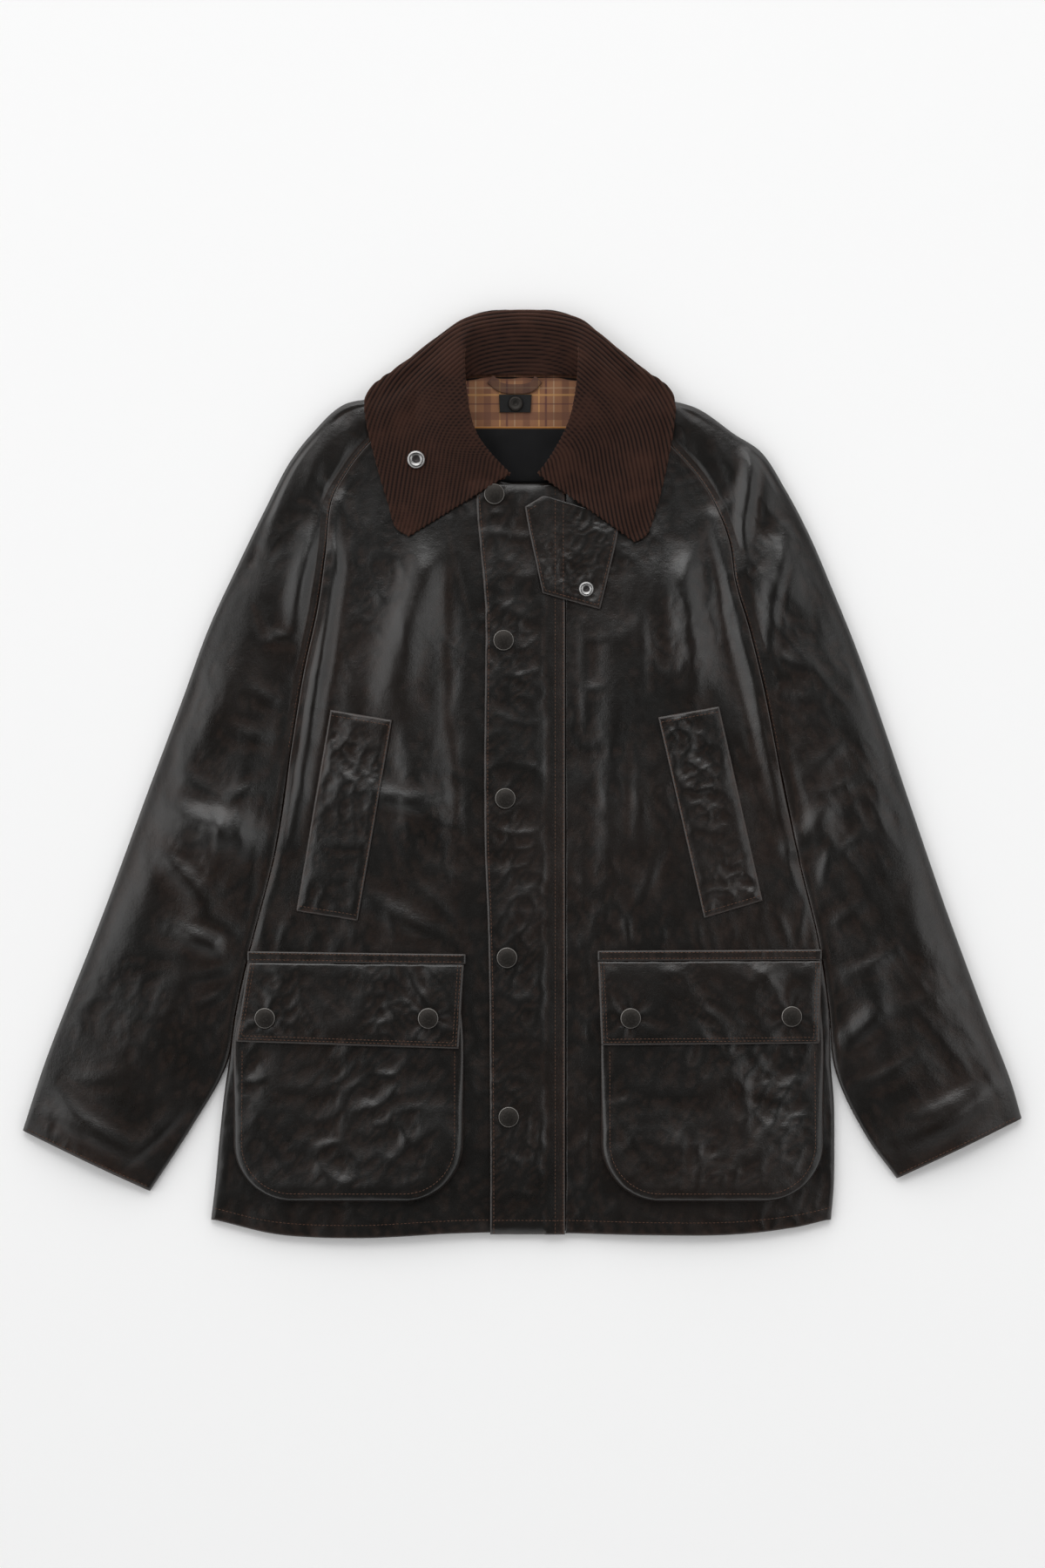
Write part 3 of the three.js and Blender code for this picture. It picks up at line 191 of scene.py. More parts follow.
# Smaller creases, given one by one: the same columns, then lean (how much steeper one side is)
BODY_CREASES = [
    (-168, 215, -160, 190, -158, 160, 1.6, 4, 0.2), (-150, 232, -143, 205, -146, 180, 2, 5, -0.3),
    (-128, 205, -120, 170, -124, 130, 1.8, 8, 0.2), (-62, 219, -56, 190, -40, 130, 2.4, 5, 0.4),
    (-110, 160, -96, 120, -100, 80, 1.6, 9, 0.3), (-72, 120, -52, 100, -38, 96, 1.3, 4, 0),
    (-66, 60, -52, 48, -36, 46, 1.5, 4, 0.2), (-70, 10, -54, -8, -36, -10, 1.4, 4.5, -0.2),
    (-96, -30, -70, -44, -40, -52, 1.8, 5, 0.3), (-74, -80, -58, -92, -38, -96, 1.5, 4, 0),
    (-100, -95, -76, -112, -52, -140, 2, 5, 0.3), (-120, -120, -112, -135, -108, -150, 1.6, 3.6, 0),
    (-150, -133, -146, -143, -144, -152, 1.4, 3.2, 0), (-180, -136, -176, -146, -174, -153, 1.4, 3.4, 0),
    (-205, -128, -210, -142, -212, -152, 1.5, 3.6, 0.2), (-90, -136, -86, -145, -84, -154, 1.3, 3.2, 0),
    (-228, -118, -228, -136, -232, -152, 1.5, 4, 0), (-205, -20, -212, -60, -226, -104, 1.8, 7, 0.3),
    (-50, -190, -42, -215, -36, -250, 2.2, 4.5, 0.3), (-52, -250, -44, -275, -34, -290, 2, 4, 0),
    (-54, -330, -46, -312, -34, -300, 2, 4, -0.2), (-56, -372, -46, -356, -32, -352, 1.8, 4, 0.2),
    (-262, -240, -256, -300, -262, -360, 1.6, 5, 0), (-258, -330, -266, -350, -264, -376, 1.4, 4, 0.2),
    (-240, -380, -230, -386, -215, -390, 1.2, 3.5, 0), (-200, -378, -190, -387, -172, -391, 1.4, 4, 0),
    (-150, -379, -140, -387, -122, -391, 1.2, 3.5, 0), (-100, -379, -92, -388, -76, -392, 1.3, 4, 0),
    (44, 120, 58, 112, 76, 118, 1.5, 4, 0.2), (42, 80, 56, 70, 74, 76, 1.5, 4, 0),
    (42, 30, 54, 18, 66, 26, 1.6, 4, 0.2), (46, -20, 58, -34, 74, -38, 1.8, 4, 0),
    (42, -75, 52, -90, 64, -120, 2, 4.5, 0.3), (44, -130, 54, -150, 60, -180, 2, 4, 0.2),
    (42, -200, 54, -215, 64, -240, 2.2, 4, 0), (44, -262, 54, -280, 66, -296, 2.2, 4.5, 0.2),
    (46, -330, 58, -318, 68, -300, 2.2, 4.5, 0), (46, -375, 60, -352, 74, -334, 2.4, 4.5, 0.3),
    (60, -392, 76, -382, 88, -372, 1.8, 4, 0), (90, -120, 94, -138, 92, -152, 1.7, 3.6, 0),
    (120, -131, 124, -142, 122, -153, 1.4, 3.2, 0), (150, -127, 154, -140, 152, -153, 1.6, 3.6, 0.2),
    (185, -133, 182, -143, 184, -153, 1.3, 3.2, 0), (222, -122, 230, -140, 232, -152, 1.7, 4, 0),
    (248, -110, 242, -134, 238, -152, 1.8, 4.5, 0.3), (120, 222, 112, 180, 118, 130, 1.8, 8, 0.3),
    (160, 205, 163, 160, 172, 110, 1.7, 5, 0.2), (100, 150, 108, 110, 104, 70, 1.8, 7, -0.2),
    (184, 70, 190, 20, 214, -40, 1.8, 7, 0.3), (98, 40, 104, -10, 96, -70, 1.8, 8, 0.3),
    (120, -60, 112, -90, 100, -116, 1.7, 6, 0), (226, -60, 236, -84, 244, -110, 1.6, 5, 0.2),
    (150, -382, 166, -389, 190, -391, 1.4, 4, 0), (206, -380, 222, -387, 244, -386, 1.4, 4, 0),
    (100, -381, 116, -390, 134, -392, 1.3, 3.6, 0),
]
SLEEVE_CREASES = [
    (-150, 296, -158, 270, -170, 255, 1.8, 6, 0), (-172, 292, -184, 262, -190, 236, 2.2, 8, 0.2),
    (-205, 246, -222, 210, -230, 170, 1.8, 7, 0.2), (-226, 114, -212, 119, -196, 118, 2.4, 5, 0.3),
    (-234, 152, -230, 128, -216, 108, -1.8, 6, 0), (-240, 80, -225, 62, -206, 58, 1.7, 6, 0),
    (-262, 40, -240, 28, -214, 30, 2, 6, 0.3), (-300, 0, -282, -14, -262, -22, 2.2, 6, 0.2),
    (-262, -22, -246, -18, -224, -8, 2, 5, 0), (-268, -30, -262, -50, -266, -72, 2.2, 5, 0.3),
    (-250, -34, -240, -52, -246, -78, 2.4, 5, 0.2), (-300, -60, -285, -64, -270, -60, 1.8, 4.5, 0),
    (-318, -40, -300, -52, -290, -70, 1.7, 5, 0.2), (-290, -120, -262, -128, -240, -148, 2.2, 5.5, 0.3),
    (-300, -180, -270, -176, -246, -168, 2.2, 6, 0), (-285, -205, -268, -196, -250, -190, 1.8, 5, 0),
    (-345, -150, -320, -160, -290, -158, 1.5, 8, 0.2), (-360, -200, -330, -214, -300, -212, 1.5, 8, 0.2),
    (-420, -290, -400, -300, -380, -322, 2.2, 6, 0), (-352, -345, -320, -320, -286, -284, 2.8, 7, 0.3),
    (-396, -262, -370, -268, -340, -262, 1.5, 7, 0), (-300, 40, -290, 10, -300, -24, 1.5, 8, 0.3),
    (-262, 110, -256, 80, -262, 50, 1.4, 8, 0), (-330, -60, -322, -90, -330, -120, 1.4, 9, 0.2),
    (170, 292, 180, 268, 184, 240, 1.8, 7, 0), (212, 262, 214, 236, 208, 210, 1.7, 6, 0.2),
    (240, 190, 232, 150, 226, 110, 1.8, 7, 0.3), (224, 104, 236, 92, 252, 92, 1.8, 5, 0),
    (222, 70, 236, 60, 256, 66, 2, 5.5, 0.2), (280, 30, 266, 12, 250, 4, 2, 6, 0),
    (296, 0, 278, -14, 250, -20, 2.2, 6, 0.3), (270, -60, 262, -80, 258, -104, 2.2, 5, 0.2),
    (300, -50, 285, -64, 268, -72, 1.8, 5, 0), (300, -110, 285, -124, 266, -132, 2, 5.5, 0.2),
    (330, -150, 306, -168, 276, -176, 2, 6, 0.3), (372, -190, 345, -206, 318, -206, 1.5, 8, 0.2),
    (350, -240, 320, -262, 292, -272, 2.2, 6, 0.3), (330, -300, 356, -296, 392, -272, 1.8, 6, 0),
    (400, -256, 414, -268, 420, -280, 1.7, 5, 0), (262, 150, 256, 120, 266, 84, 1.5, 8, 0.2),
    (312, 0, 304, -40, 316, -80, 1.5, 9, 0.3), (344, -90, 336, -130, 350, -166, 1.4, 9, 0),
]
FLY_CREASES = [
    (-30, 214, -8, 200, 14, 208, 1.3, 4, 0.2), (-24, 176, 0, 164, 26, 178, 1.1, 4.5, 0),
    (-28, 146, -4, 140, 20, 128, 1.3, 4, 0.2), (-30, 92, -8, 80, 18, 90, 1.4, 4, 0),
    (-28, 56, -4, 38, 24, 44, 1.4, 4.5, 0.2), (-26, 6, 2, 12, 30, -4, 1.3, 4.5, 0),
    (-28, -48, -8, -58, 16, -50, 1.5, 4, 0.2), (-24, -88, 4, -80, 30, -96, 1.4, 5, 0),
    (-26, -128, -6, -118, 14, -124, 1.3, 4, 0), (-24, -188, -4, -202, 22, -196, 1.4, 4, 0.2),
    (-24, -236, 2, -222, 28, -236, 1.4, 4.5, 0), (-24, -270, -8, -262, 10, -268, 1.3, 3.6, 0),
    (-22, -330, -2, -342, 20, -336, 1.5, 4, 0.2), (-22, -372, 4, -360, 30, -372, 1.4, 4.5, 0),
    (6, 236, 14, 196, 10, 152, 1.4, 6, 0.3), (8, 60, 16, 10, 10, -30, 1.3, 6, 0.3),
    (12, -140, 20, -180, 14, -220, 1.2, 6, 0.2), (14, -262, 18, -300, 12, -350, 1.3, 6, 0.2),
]
POCKET_CREASES = [
    (-236, -262, -190, -282, -150, -276, 2, 9, 0.2), (-150, -262, -110, -290, -70, -268, 2.2, 9, 0.3),
    (-226, -330, -180, -318, -140, -340, 2, 9, 0.2), (-130, -345, -96, -322, -70, -300, 2.4, 8, 0.3),
    (-232, -300, -220, -330, -196, -350, 1.8, 6, 0), (-180, -352, -176, -344, -170, -332, 1.2, 4, 0),
    (-122, -354, -120, -345, -112, -334, 1.2, 4, 0), (-200, -290, -160, -306, -120, -300, 1.4, 10, 0),
    (86, -266, 130, -288, 176, -272, 2, 9, 0.2), (180, -262, 214, -290, 250, -276, 2, 8, 0.3),
    (92, -312, 130, -330, 170, -318, 2.2, 9, 0.3), (176, -346, 214, -328, 244, -300, 2.4, 8, 0.3),
    (84, -290, 92, -324, 118, -346, 1.8, 6, 0), (186, -354, 180, -344, 190, -330, 1.3, 4, 0),
    (206, -352, 204, -342, 212, -330, 1.3, 4, 0), (120, -300, 160, -306, 204, -300, 1.4, 10, 0),
]
HANDWARMER_CREASES = [
    (-160, 30, -140, 18, -118, 26, 1.8, 5, 0.2), (-130, 20, -122, -2, -124, -22, 1.8, 4.5, 0.3),
    (-168, -10, -148, -22, -122, -14, 1.8, 6, 0.2), (-178, -58, -152, -70, -124, -56, 2.2, 5, 0.3),
    (-186, -92, -160, -88, -134, -100, 1.6, 6, 0), (-150, -30, -142, -46, -150, -62, 1.5, 5, 0),
    (126, 30, 146, 20, 166, 30, 1.6, 5, 0.2), (134, -6, 158, -20, 182, -10, 1.8, 6, 0.2),
    (142, -42, 166, -56, 190, -46, 2, 5, 0.3), (150, -84, 176, -92, 200, -82, 1.8, 6, 0),
    (176, 20, 172, -6, 182, -30, 1.5, 5, 0.2), (152, -100, 176, -106, 204, -98, 1.3, 5, 0),
]

# Where another piece presses the cloth flat: from x, to x, from y, to y, margin
PRESSED = [
    (-44, 45, -410, 260, 14), (-134, -20, 215, 360, 22), (20, 130, 208, 360, 22),
    (0, 84, 140, 260, 12), (-250, -50, -378, -154, 10), (66, 262, -378, -154, 10),
]

# Corners of the flat pieces: upper left, upper right, lower left, lower right
HANDWARMERS = {
    "handwarmer_right": [(-167, 55.5), (-113.5, 46.5), (-197, -119.5), (-143.5, -128)],
    "handwarmer_left": [(118, 49), (171, 58.5), (158, -125.5), (209, -110.5)],
}
FLAPS = {
    "flap_right": [(-238.5, -164.3), (-51, -166), (-249.5, -233), (-55.5, -239)],
    "flap_left": [(65.5, -163.3), (260.5, -162.7), (68.5, -236), (258.5, -234.5)],
}
BANDS = {
    "pocket_band_right": [(-239.5, -154.5), (-49.5, -157), (-239.5, -163.5), (-49.5, -165.5)],
    "pocket_band_left": [(65.5, -154), (260.5, -153), (65.5, -162.5), (260.5, -162)],
}
LINING_CORNERS = [(-66, 348.5), (66, 348.5), (-30, 256), (28, 256)]
LABEL_CORNERS = [(-47, 302), (42, 302), (-36, 254), (36, 254)]
TAPE_CORNERS = [(-20.5, 330), (8, 330), (-20, 314.5), (7, 314.5)]
TAB_LEFT = [(17.5, 157), (11.5, 184.5), (5.5, 211.5), (2, 232), (20, 243)]
TAB_RIGHT = [(67.5, 143), (74.5, 171.5), (81.5, 200.5), (84, 214), (74, 226)]
LOOP_ROUTE = [(-29, 342.5), (-20, 335.5), (-6, 333.5), (8, 335.5), (15, 342.5)]

# Bags: left, right, top, height, corner
BAGS = {
    "pocket_right": (-248.5, -54.5, -170, 199, 48),
    "pocket_left": (71.5, 259, -170, 199, 48),
}
FLAP_DROP = 71.0
GUSSET = 3.0

# How a bag rises from its outline inwards: distance, share of its full height
BAG_RISE = [
    (-GUSSET, 0), (-1.8, 0.6), (-0.4, 0.9), (3, 0.97), (9, 1), (24, 0.92), (52, 0.78), (90, 0.72),
]

FLY_SNAPS = [(-24.5, 243), (-16.5, 116), (-15, -21.5), (-13.5, -160), (-12, -298.5)]
FLAP_SNAPS = [(-224, -212.5), (-82, -212.5), (94, -212.5), (234, -211)]
TAB_SOCKET = (55.5, 160.5)
COLLAR_STUD = (-92.5, 273)
TAPE_STUD = (-6, 322)

# Lathe profiles: radius, height
CAP_PROFILE = [
    (0, 0), (8.2, 0), (8.9, 0.5), (9, 1.2), (8.8, 1.9), (8.3, 2.3), (7.7, 2.4), (7.1, 2.6),
    (6, 2.95), (4.4, 3.25), (2.4, 3.45), (0, 3.5),
]
STUD_PROFILE = [
    (0, 0), (6.2, 0), (6.6, 0.5), (6.5, 1.1), (5.9, 1.9), (5.1, 2.35), (4.3, 2.3), (3.5, 1.8),
    (2.8, 1.5), (2.3, 1.6), (2, 1.3), (1.8, 0.7), (0, 0.6),
]


class ClothSizes(bpy.types.PropertyGroup):
    waxed: bpy.props.FloatProperty(
        name="Waxed cotton", description="Thickness of one layer of waxed cotton",
        default=0.0012, min=0.0005, max=0.003, unit="LENGTH", precision=4)
    doubled: bpy.props.FloatProperty(
        name="Doubled cloth", description="Thickness of the flaps, bands, tab and fly",
        default=0.002, min=0.001, max=0.004, unit="LENGTH", precision=4)
    corduroy: bpy.props.FloatProperty(
        name="Corduroy", description="Thickness of the collar without its wales",
        default=0.0022, min=0.001, max=0.004, unit="LENGTH", precision=4)
    lining: bpy.props.FloatProperty(
        name="Lining", description="Thickness of the check lining",
        default=0.0009, min=0.0003, max=0.002, unit="LENGTH", precision=4)
    cell: bpy.props.FloatProperty(
        name="Cell", description="Size of the cells that the panels are built from",
        default=0.0026, min=0.0015, max=0.01, unit="LENGTH", precision=4)
    wale_pitch: bpy.props.FloatProperty(
        name="Wale pitch", description="Distance from one wale of the corduroy to the next",
        default=0.0036, min=0.001, max=0.01, unit="LENGTH", precision=4)
    wale_height: bpy.props.FloatProperty(
        name="Wale height", description="Height of the wales of the corduroy",
        default=0.0009, min=0, max=0.002, unit="LENGTH", precision=5)


class SewingSizes(bpy.types.PropertyGroup):
    pitch: bpy.props.FloatProperty(
        name="Pitch", description="Distance from one stitch to the next",
        default=0.0034, min=0.001, max=0.01, unit="LENGTH", precision=4)
    length: bpy.props.FloatProperty(
        name="Length", description="Length of one stitch", default=0.0025, min=0.001, max=0.01,
        unit="LENGTH", precision=4)
    thread: bpy.props.FloatProperty(
        name="Thread", description="Width of the thread", default=0.00055, min=0.0001, max=0.002,
        unit="LENGTH", precision=5)


class JacketColours(bpy.types.PropertyGroup):
    wax: bpy.props.FloatVectorProperty(
        name="Wax", description="Waxed cotton", subtype="COLOR", default=(0.0052, 0.0045, 0.0038))
    # The rubbed brown is worn wax at the edges and also the painted shade in the troughs.
    rubbed: bpy.props.FloatVectorProperty(
        name="Rubbed wax", description="Waxed cotton where it is rubbed", subtype="COLOR",
        default=(0.030, 0.0145, 0.0088))
    thread: bpy.props.FloatVectorProperty(
        name="Thread", description="Sewing thread", subtype="COLOR", default=(0.085, 0.036, 0.018))
    corduroy: bpy.props.FloatVectorProperty(
        name="Corduroy", description="Pile of the collar", subtype="COLOR",
        default=(0.038, 0.0152, 0.0094))
    check_ground: bpy.props.FloatVectorProperty(
        name="Check ground", description="Ground of the lining", subtype="COLOR",
        default=(0.235, 0.105, 0.048))
    floor: bpy.props.FloatVectorProperty(
        name="Floor", description="Floor", subtype="COLOR", default=(0.955, 0.955, 0.955))


class StudioSizes(bpy.types.PropertyGroup):
    height: bpy.props.FloatProperty(
        name="Camera height", description="Height of the camera above the floor", default=3.2,
        min=1, max=10, unit="LENGTH")
    view_height: bpy.props.FloatProperty(
        name="View height", description="What the photograph shows from top to bottom",
        default=1.368, min=0.5, max=3, unit="LENGTH")
    centre_y: bpy.props.FloatProperty(
        name="View centre", description="Y of the middle of the view", default=-0.009,
        unit="LENGTH")
    sky: bpy.props.FloatProperty(
        name="Sky", description="Strength of the even light", default=1.475, min=0, max=5)
    softbox: bpy.props.FloatProperty(
        name="Softbox", description="Power of the large light beyond the collar", default=38,
        min=0, max=500, unit="POWER")
    fill: bpy.props.FloatProperty(
        name="Fill", description="Power of each side light", default=6, min=0, max=500,
        unit="POWER")


def smooth(low, high, value):
    """Soft step from 0 at low to 1 at high."""
    t = np.clip((value - low) / (high - low), 0, 1)
    return t * t * (3 - 2 * t)


def mix(a, b, t):
    return a + (b - a) * t


def curve(points, shares):
    """Points at shares of a centripetal curve through points; each span has an equal share."""
    p = np.asarray(points, float)
    p = np.concatenate([2 * p[:1] - p[1:2], p, 2 * p[-1:] - p[-2:-1]])
    t = np.clip(np.atleast_1d(shares), 0, 1) * (len(p) - 3)
    k = np.minimum(t.astype(int), len(p) - 4)
    w = (t - k).reshape((-1,) + (1,) * (p.ndim - 1))
    p0, p1, p2, p3 = p[k], p[k + 1], p[k + 2], p[k + 3]

    def step(a, b):
        return np.maximum(np.sqrt(np.linalg.norm(b - a, axis=-1, keepdims=True)), 1e-3)

    d0, d1, d2 = step(p0, p1), step(p1, p2), step(p2, p3)
    m1 = ((p1 - p0) / d0 - (p2 - p0) / (d0 + d1) + (p2 - p1) / d1) * d1
    m2 = ((p2 - p1) / d1 - (p3 - p1) / (d1 + d2) + (p3 - p2) / d2) * d1
    return p1 + m1 * w + (3 * (p2 - p1) - 2 * m1 - m2) * w**2 + (2 * (p1 - p2) + m1 + m2) * w**3


def evenly(points, shares):
    """Points at equal shares of the curve's length."""
    dense = curve(points, np.linspace(0, 1, 400))
    run = np.concatenate([[0], np.cumsum(np.linalg.norm(np.diff(dense, axis=0), axis=1))])
    at = np.atleast_1d(shares) * run[-1]
    return np.stack([np.interp(at, run, dense[:, i]) for i in range(dense.shape[1])], axis=1)


def along(points, pitch):
    """Points a pitch apart on the polyline through points."""
    p = np.asarray(points, float)
    run = np.concatenate([[0], np.cumsum(np.linalg.norm(np.diff(p, axis=0), axis=1))])
    at = np.arange(pitch / 2, run[-1], pitch)
    return np.stack([np.interp(at, run, p[:, i]) for i in range(p.shape[1])], axis=1)


def nearest(path, x, y):
    """Distance to a polyline, its side, and the share of its length at the nearest point."""
    best = np.full(x.shape, 1e9)
    side = np.zeros(x.shape)
    share = np.zeros(x.shape)
    for index, (a, b) in enumerate(zip(path[:-1], path[1:])):
        d = b - a
        t = np.clip(((x - a[0]) * d[0] + (y - a[1]) * d[1]) / max(d @ d, 1e-9), 0, 1)
        gap = np.hypot(x - a[0] - t * d[0], y - a[1] - t * d[1])
        closer = gap < best
        best = np.where(closer, gap, best)
        share = np.where(closer, (index + t) / (len(path) - 1), share)
        side = np.where(closer, np.sign(d[0] * (y - a[1]) - d[1] * (x - a[0])), side)
    return best, side, share


def creases(table, x, y, start=0.04):
    """Height of soft ridges and troughs; start says how much of it is left at both ends."""
    total = np.zeros(x.shape)
    for x0, y0, xm, ym, x1, y1, rise, width, *lean in table:
        reach = 3.2 * width
        near = (x > min(x0, xm, x1) - reach) & (x < max(x0, xm, x1) + reach)
        near &= (y > min(y0, ym, y1) - reach) & (y < max(y0, ym, y1) + reach)
        if not near.any():
            continue
        t = np.linspace(0, 1, 20)[:, None]
        a, m, b = np.array([x0, y0]), np.array([xm, ym]), np.array([x1, y1])
        path = (1 - t) ** 2 * a + 2 * t * (1 - t) * m + t**2 * b
        gap, side, share = nearest(path, x[near], y[near])
        wide = width * (1 + (lean[0] if lean else 0) * side)
        length_share = np.sin(np.pi * mix(start, 1 - start, share))
        total[near] += rise * length_share * np.exp(-((gap / wide) ** 2))
    return total


def pressing(x, y):
    """1 where the cloth lies free, 0 under a piece that presses it flat."""
    free = np.ones(x.shape)
    for x0, x1, y0, y1, margin in PRESSED:
        across, up = np.maximum(x0 - x, x - x1), np.maximum(y0 - y, y - y1)
        out = np.hypot(np.maximum(across, 0), np.maximum(up, 0))
        uneven = 3 * np.sin(x / 13 + y / 21) + 2 * np.sin(x / 7 - y / 9)
        free = np.minimum(free, smooth(0, 1.9 * margin, out + uneven * np.minimum(out / margin, 1)))
    return free


def rumple(x, y, seed, size, depth, waves=14):
    """Soft uneven dents of cloth that has been worn and folded."""
    rng = np.random.default_rng(seed)
    total = np.zeros(x.shape)
    for _ in range(waves):
        angle, phase = rng.uniform(0, 2 * np.pi, 2)
        length = size * rng.uniform(0.6, 1.8)
        bend = 0.35 * np.sin((x * math.sin(angle) - y * math.cos(angle)) / (1.7 * length) + phase)
        run = x * math.cos(angle) + y * math.sin(angle)
        total += np.sin(2 * np.pi * run / length + phase + 3 * bend)
    return depth * total / math.sqrt(waves / 2)


def crumple(x, y, seed, size, depth, lean=0.0, stretch=1.0):
    """Crisp uneven creases with calm ground between them; they run along lean, in degrees from +Y."""
    rng = np.random.default_rng(seed)
    c, s = math.cos(math.radians(lean)), math.sin(math.radians(lean))
    run, across = (c * y + s * x) / stretch, c * x - s * y
    total = np.zeros(x.shape)
    for part in (1.0, 0.52, 0.27):
        field = np.zeros(x.shape)
        for _ in range(7):
            angle, spin, phase = rng.uniform(0, 2 * np.pi, 3)
            length = size * part * rng.uniform(0.7, 1.6)
            turned = across * math.cos(spin) + run * math.sin(spin)
            warp = 0.8 * np.sin(turned / (0.6 * length) + phase)
            way = across * math.cos(angle) + run * math.sin(angle)
            field += np.sin(2 * np.pi * way / length + warp)
        total += part * (0.6 - np.sqrt((field / 2) ** 2 + 0.03))
    calm = smooth(-0.5, 0.7, rumple(x, run * stretch, seed + 500, 3 * size, 0.6))
    return depth * total * mix(0.25, 1, calm)


def puckers(run, gap, seed, pitch, depth, reach):
    """Small gathers beside a row of stitches: run is the place along it, gap the distance to it."""
    rng = np.random.default_rng(seed)
    knots = np.arange(-60, 1400, pitch * 0.5)
    height = rng.uniform(-1, 1, knots.size) * rng.uniform(0.3, 1, knots.size)
    slant = rng.uniform(-0.5, 0.5)
    wave = np.interp(run + slant * gap, knots, height)
    return depth * wave * np.exp(-((gap / reach) ** 1.5))


def raised(y):
    return FALL_UNDER_NECK * smooth(*FALL_RAMP, y)


def main_folds(x, y):
    return pressing(x, y) * creases(MAIN_FOLDS, x, y, start=0.12)


def upper_level(x, y):
    return TOP_LEVEL + raised(y) + main_folds(x, y)


class LaidCloth:
    """The height of what has been laid so far, so that the next piece can rest on it."""

    cell = 1.5
    low = np.array([-460.0, -430.0])
    size = (614, 574)

    def __init__(self):
        self.height = np.zeros(self.size)

    def add(self, grid):
        """Lays the upper face of a piece, given as a grid of points."""
        for axis in (0, 1):
            first = np.take(grid, range(grid.shape[axis] - 1), axis)
            second = np.take(grid, range(1, grid.shape[axis]), axis)
            pairs = np.stack([first, (first + second) / 2], axis=axis + 1)
            shape = list(first.shape)
            shape[axis] *= 2
            grid = pairs.reshape(shape)
        flat = grid.reshape(-1, 3)
        at = np.rint((flat[:, :2] - self.low) / self.cell).astype(int)
        inside = ((at >= 0) & (at < self.size)).all(axis=1)
        np.maximum.at(self.height, (at[inside, 0], at[inside, 1]), flat[inside, 2])

    def rest(self, x, y, reach, soft):
        """The highest point within reach of each place, softened, as cloth laid on it would lie."""
        field = self.height
        for axis in (0, 1):
            steps = int(round(reach / self.cell))
            field = np.max([np.roll(field, s, axis) for s in range(-steps, steps + 1)], axis=0)
        steps = int(round(soft / self.cell))
        for axis in (0, 1, 0, 1):
            field = np.mean([np.roll(field, s, axis) for s in range(-steps, steps + 1)], axis=0)
        u, v = (x - self.low[0]) / self.cell, (y - self.low[1]) / self.cell
        i = np.clip(u.astype(int), 0, self.size[0] - 2)
        j = np.clip(v.astype(int), 0, self.size[1] - 2)
        a, b = u - i, v - j
        lower = field[i, j] * (1 - a) + field[i + 1, j] * a
        upper = field[i, j + 1] * (1 - a) + field[i + 1, j + 1] * a
        return lower * (1 - b) + upper * b


laid = LaidCloth()
sewn_lines = []


def grid_normals(grid):
    normal = np.cross(np.gradient(grid, axis=1), np.gradient(grid, axis=0))
    return normal / np.maximum(np.linalg.norm(normal, axis=-1, keepdims=True), 1e-9)


def make_piece(name, points, faces, materials, index=None, attributes=None, crisp=0):
    """A smooth mesh piece from points in millimetres; its last faces, crisp in number, stay flat."""
    mesh = bpy.data.meshes.new(name)
    mesh.vertices.add(len(points))
    mesh.vertices.foreach_set("co", (np.asarray(points) * MM).astype(np.float32).ravel())
    mesh.loops.add(faces.size)
    mesh.loops.foreach_set("vertex_index", faces.astype(np.int32).ravel())
    mesh.polygons.add(len(faces))
    mesh.polygons.foreach_set("loop_start", np.arange(0, faces.size, 4, dtype=np.int32))
    for material in materials:
        mesh.materials.append(material)
    if index is not None:
        mesh.polygons.foreach_set("material_index", index.astype(np.int32))
    for key, values in (attributes or {}).items():
        layer = mesh.attributes.new(key, "FLOAT", "POINT")
        layer.data.foreach_set("value", values.astype(np.float32).ravel())
    mesh.update(calc_edges=True)
    mesh.validate()
    mesh.polygons.foreach_set("use_smooth", np.arange(len(faces)) < len(faces) - crisp)
    piece = bpy.data.objects.new(name, mesh)
    bpy.context.scene.collection.objects.link(piece)
    return piece


def grid_faces(rows, columns, first=0, wrapped=False):
    """Faces between the points of a grid; wrapped closes its columns into a ring."""
    at = first + np.arange(rows * columns).reshape(rows, columns)
    after = np.roll(at, -1, axis=1) if wrapped else at[:, 1:]
    at = at if wrapped else at[:, :-1]
    return np.stack([at[:-1], after[:-1], after[1:], at[1:]], axis=-1).reshape(-1, 4)


def edge_gap(grid, sides):
    """Distance from each point of a grid to its named edges, in millimetres."""
    across = np.linalg.norm(np.diff(grid, axis=1), axis=-1)
    up = np.linalg.norm(np.diff(grid, axis=0), axis=-1)
    from_first = np.pad(np.cumsum(across, axis=1), ((0, 0), (1, 0)))
    from_low = np.pad(np.cumsum(up, axis=0), ((1, 0), (0, 0)))
    gaps = {
        "first": from_first, "last": from_first[:, -1:] - from_first,
        "low": from_low, "high": from_low[-1:] - from_low,
    }
    return np.min([gaps[side] for side in sides], axis=0)


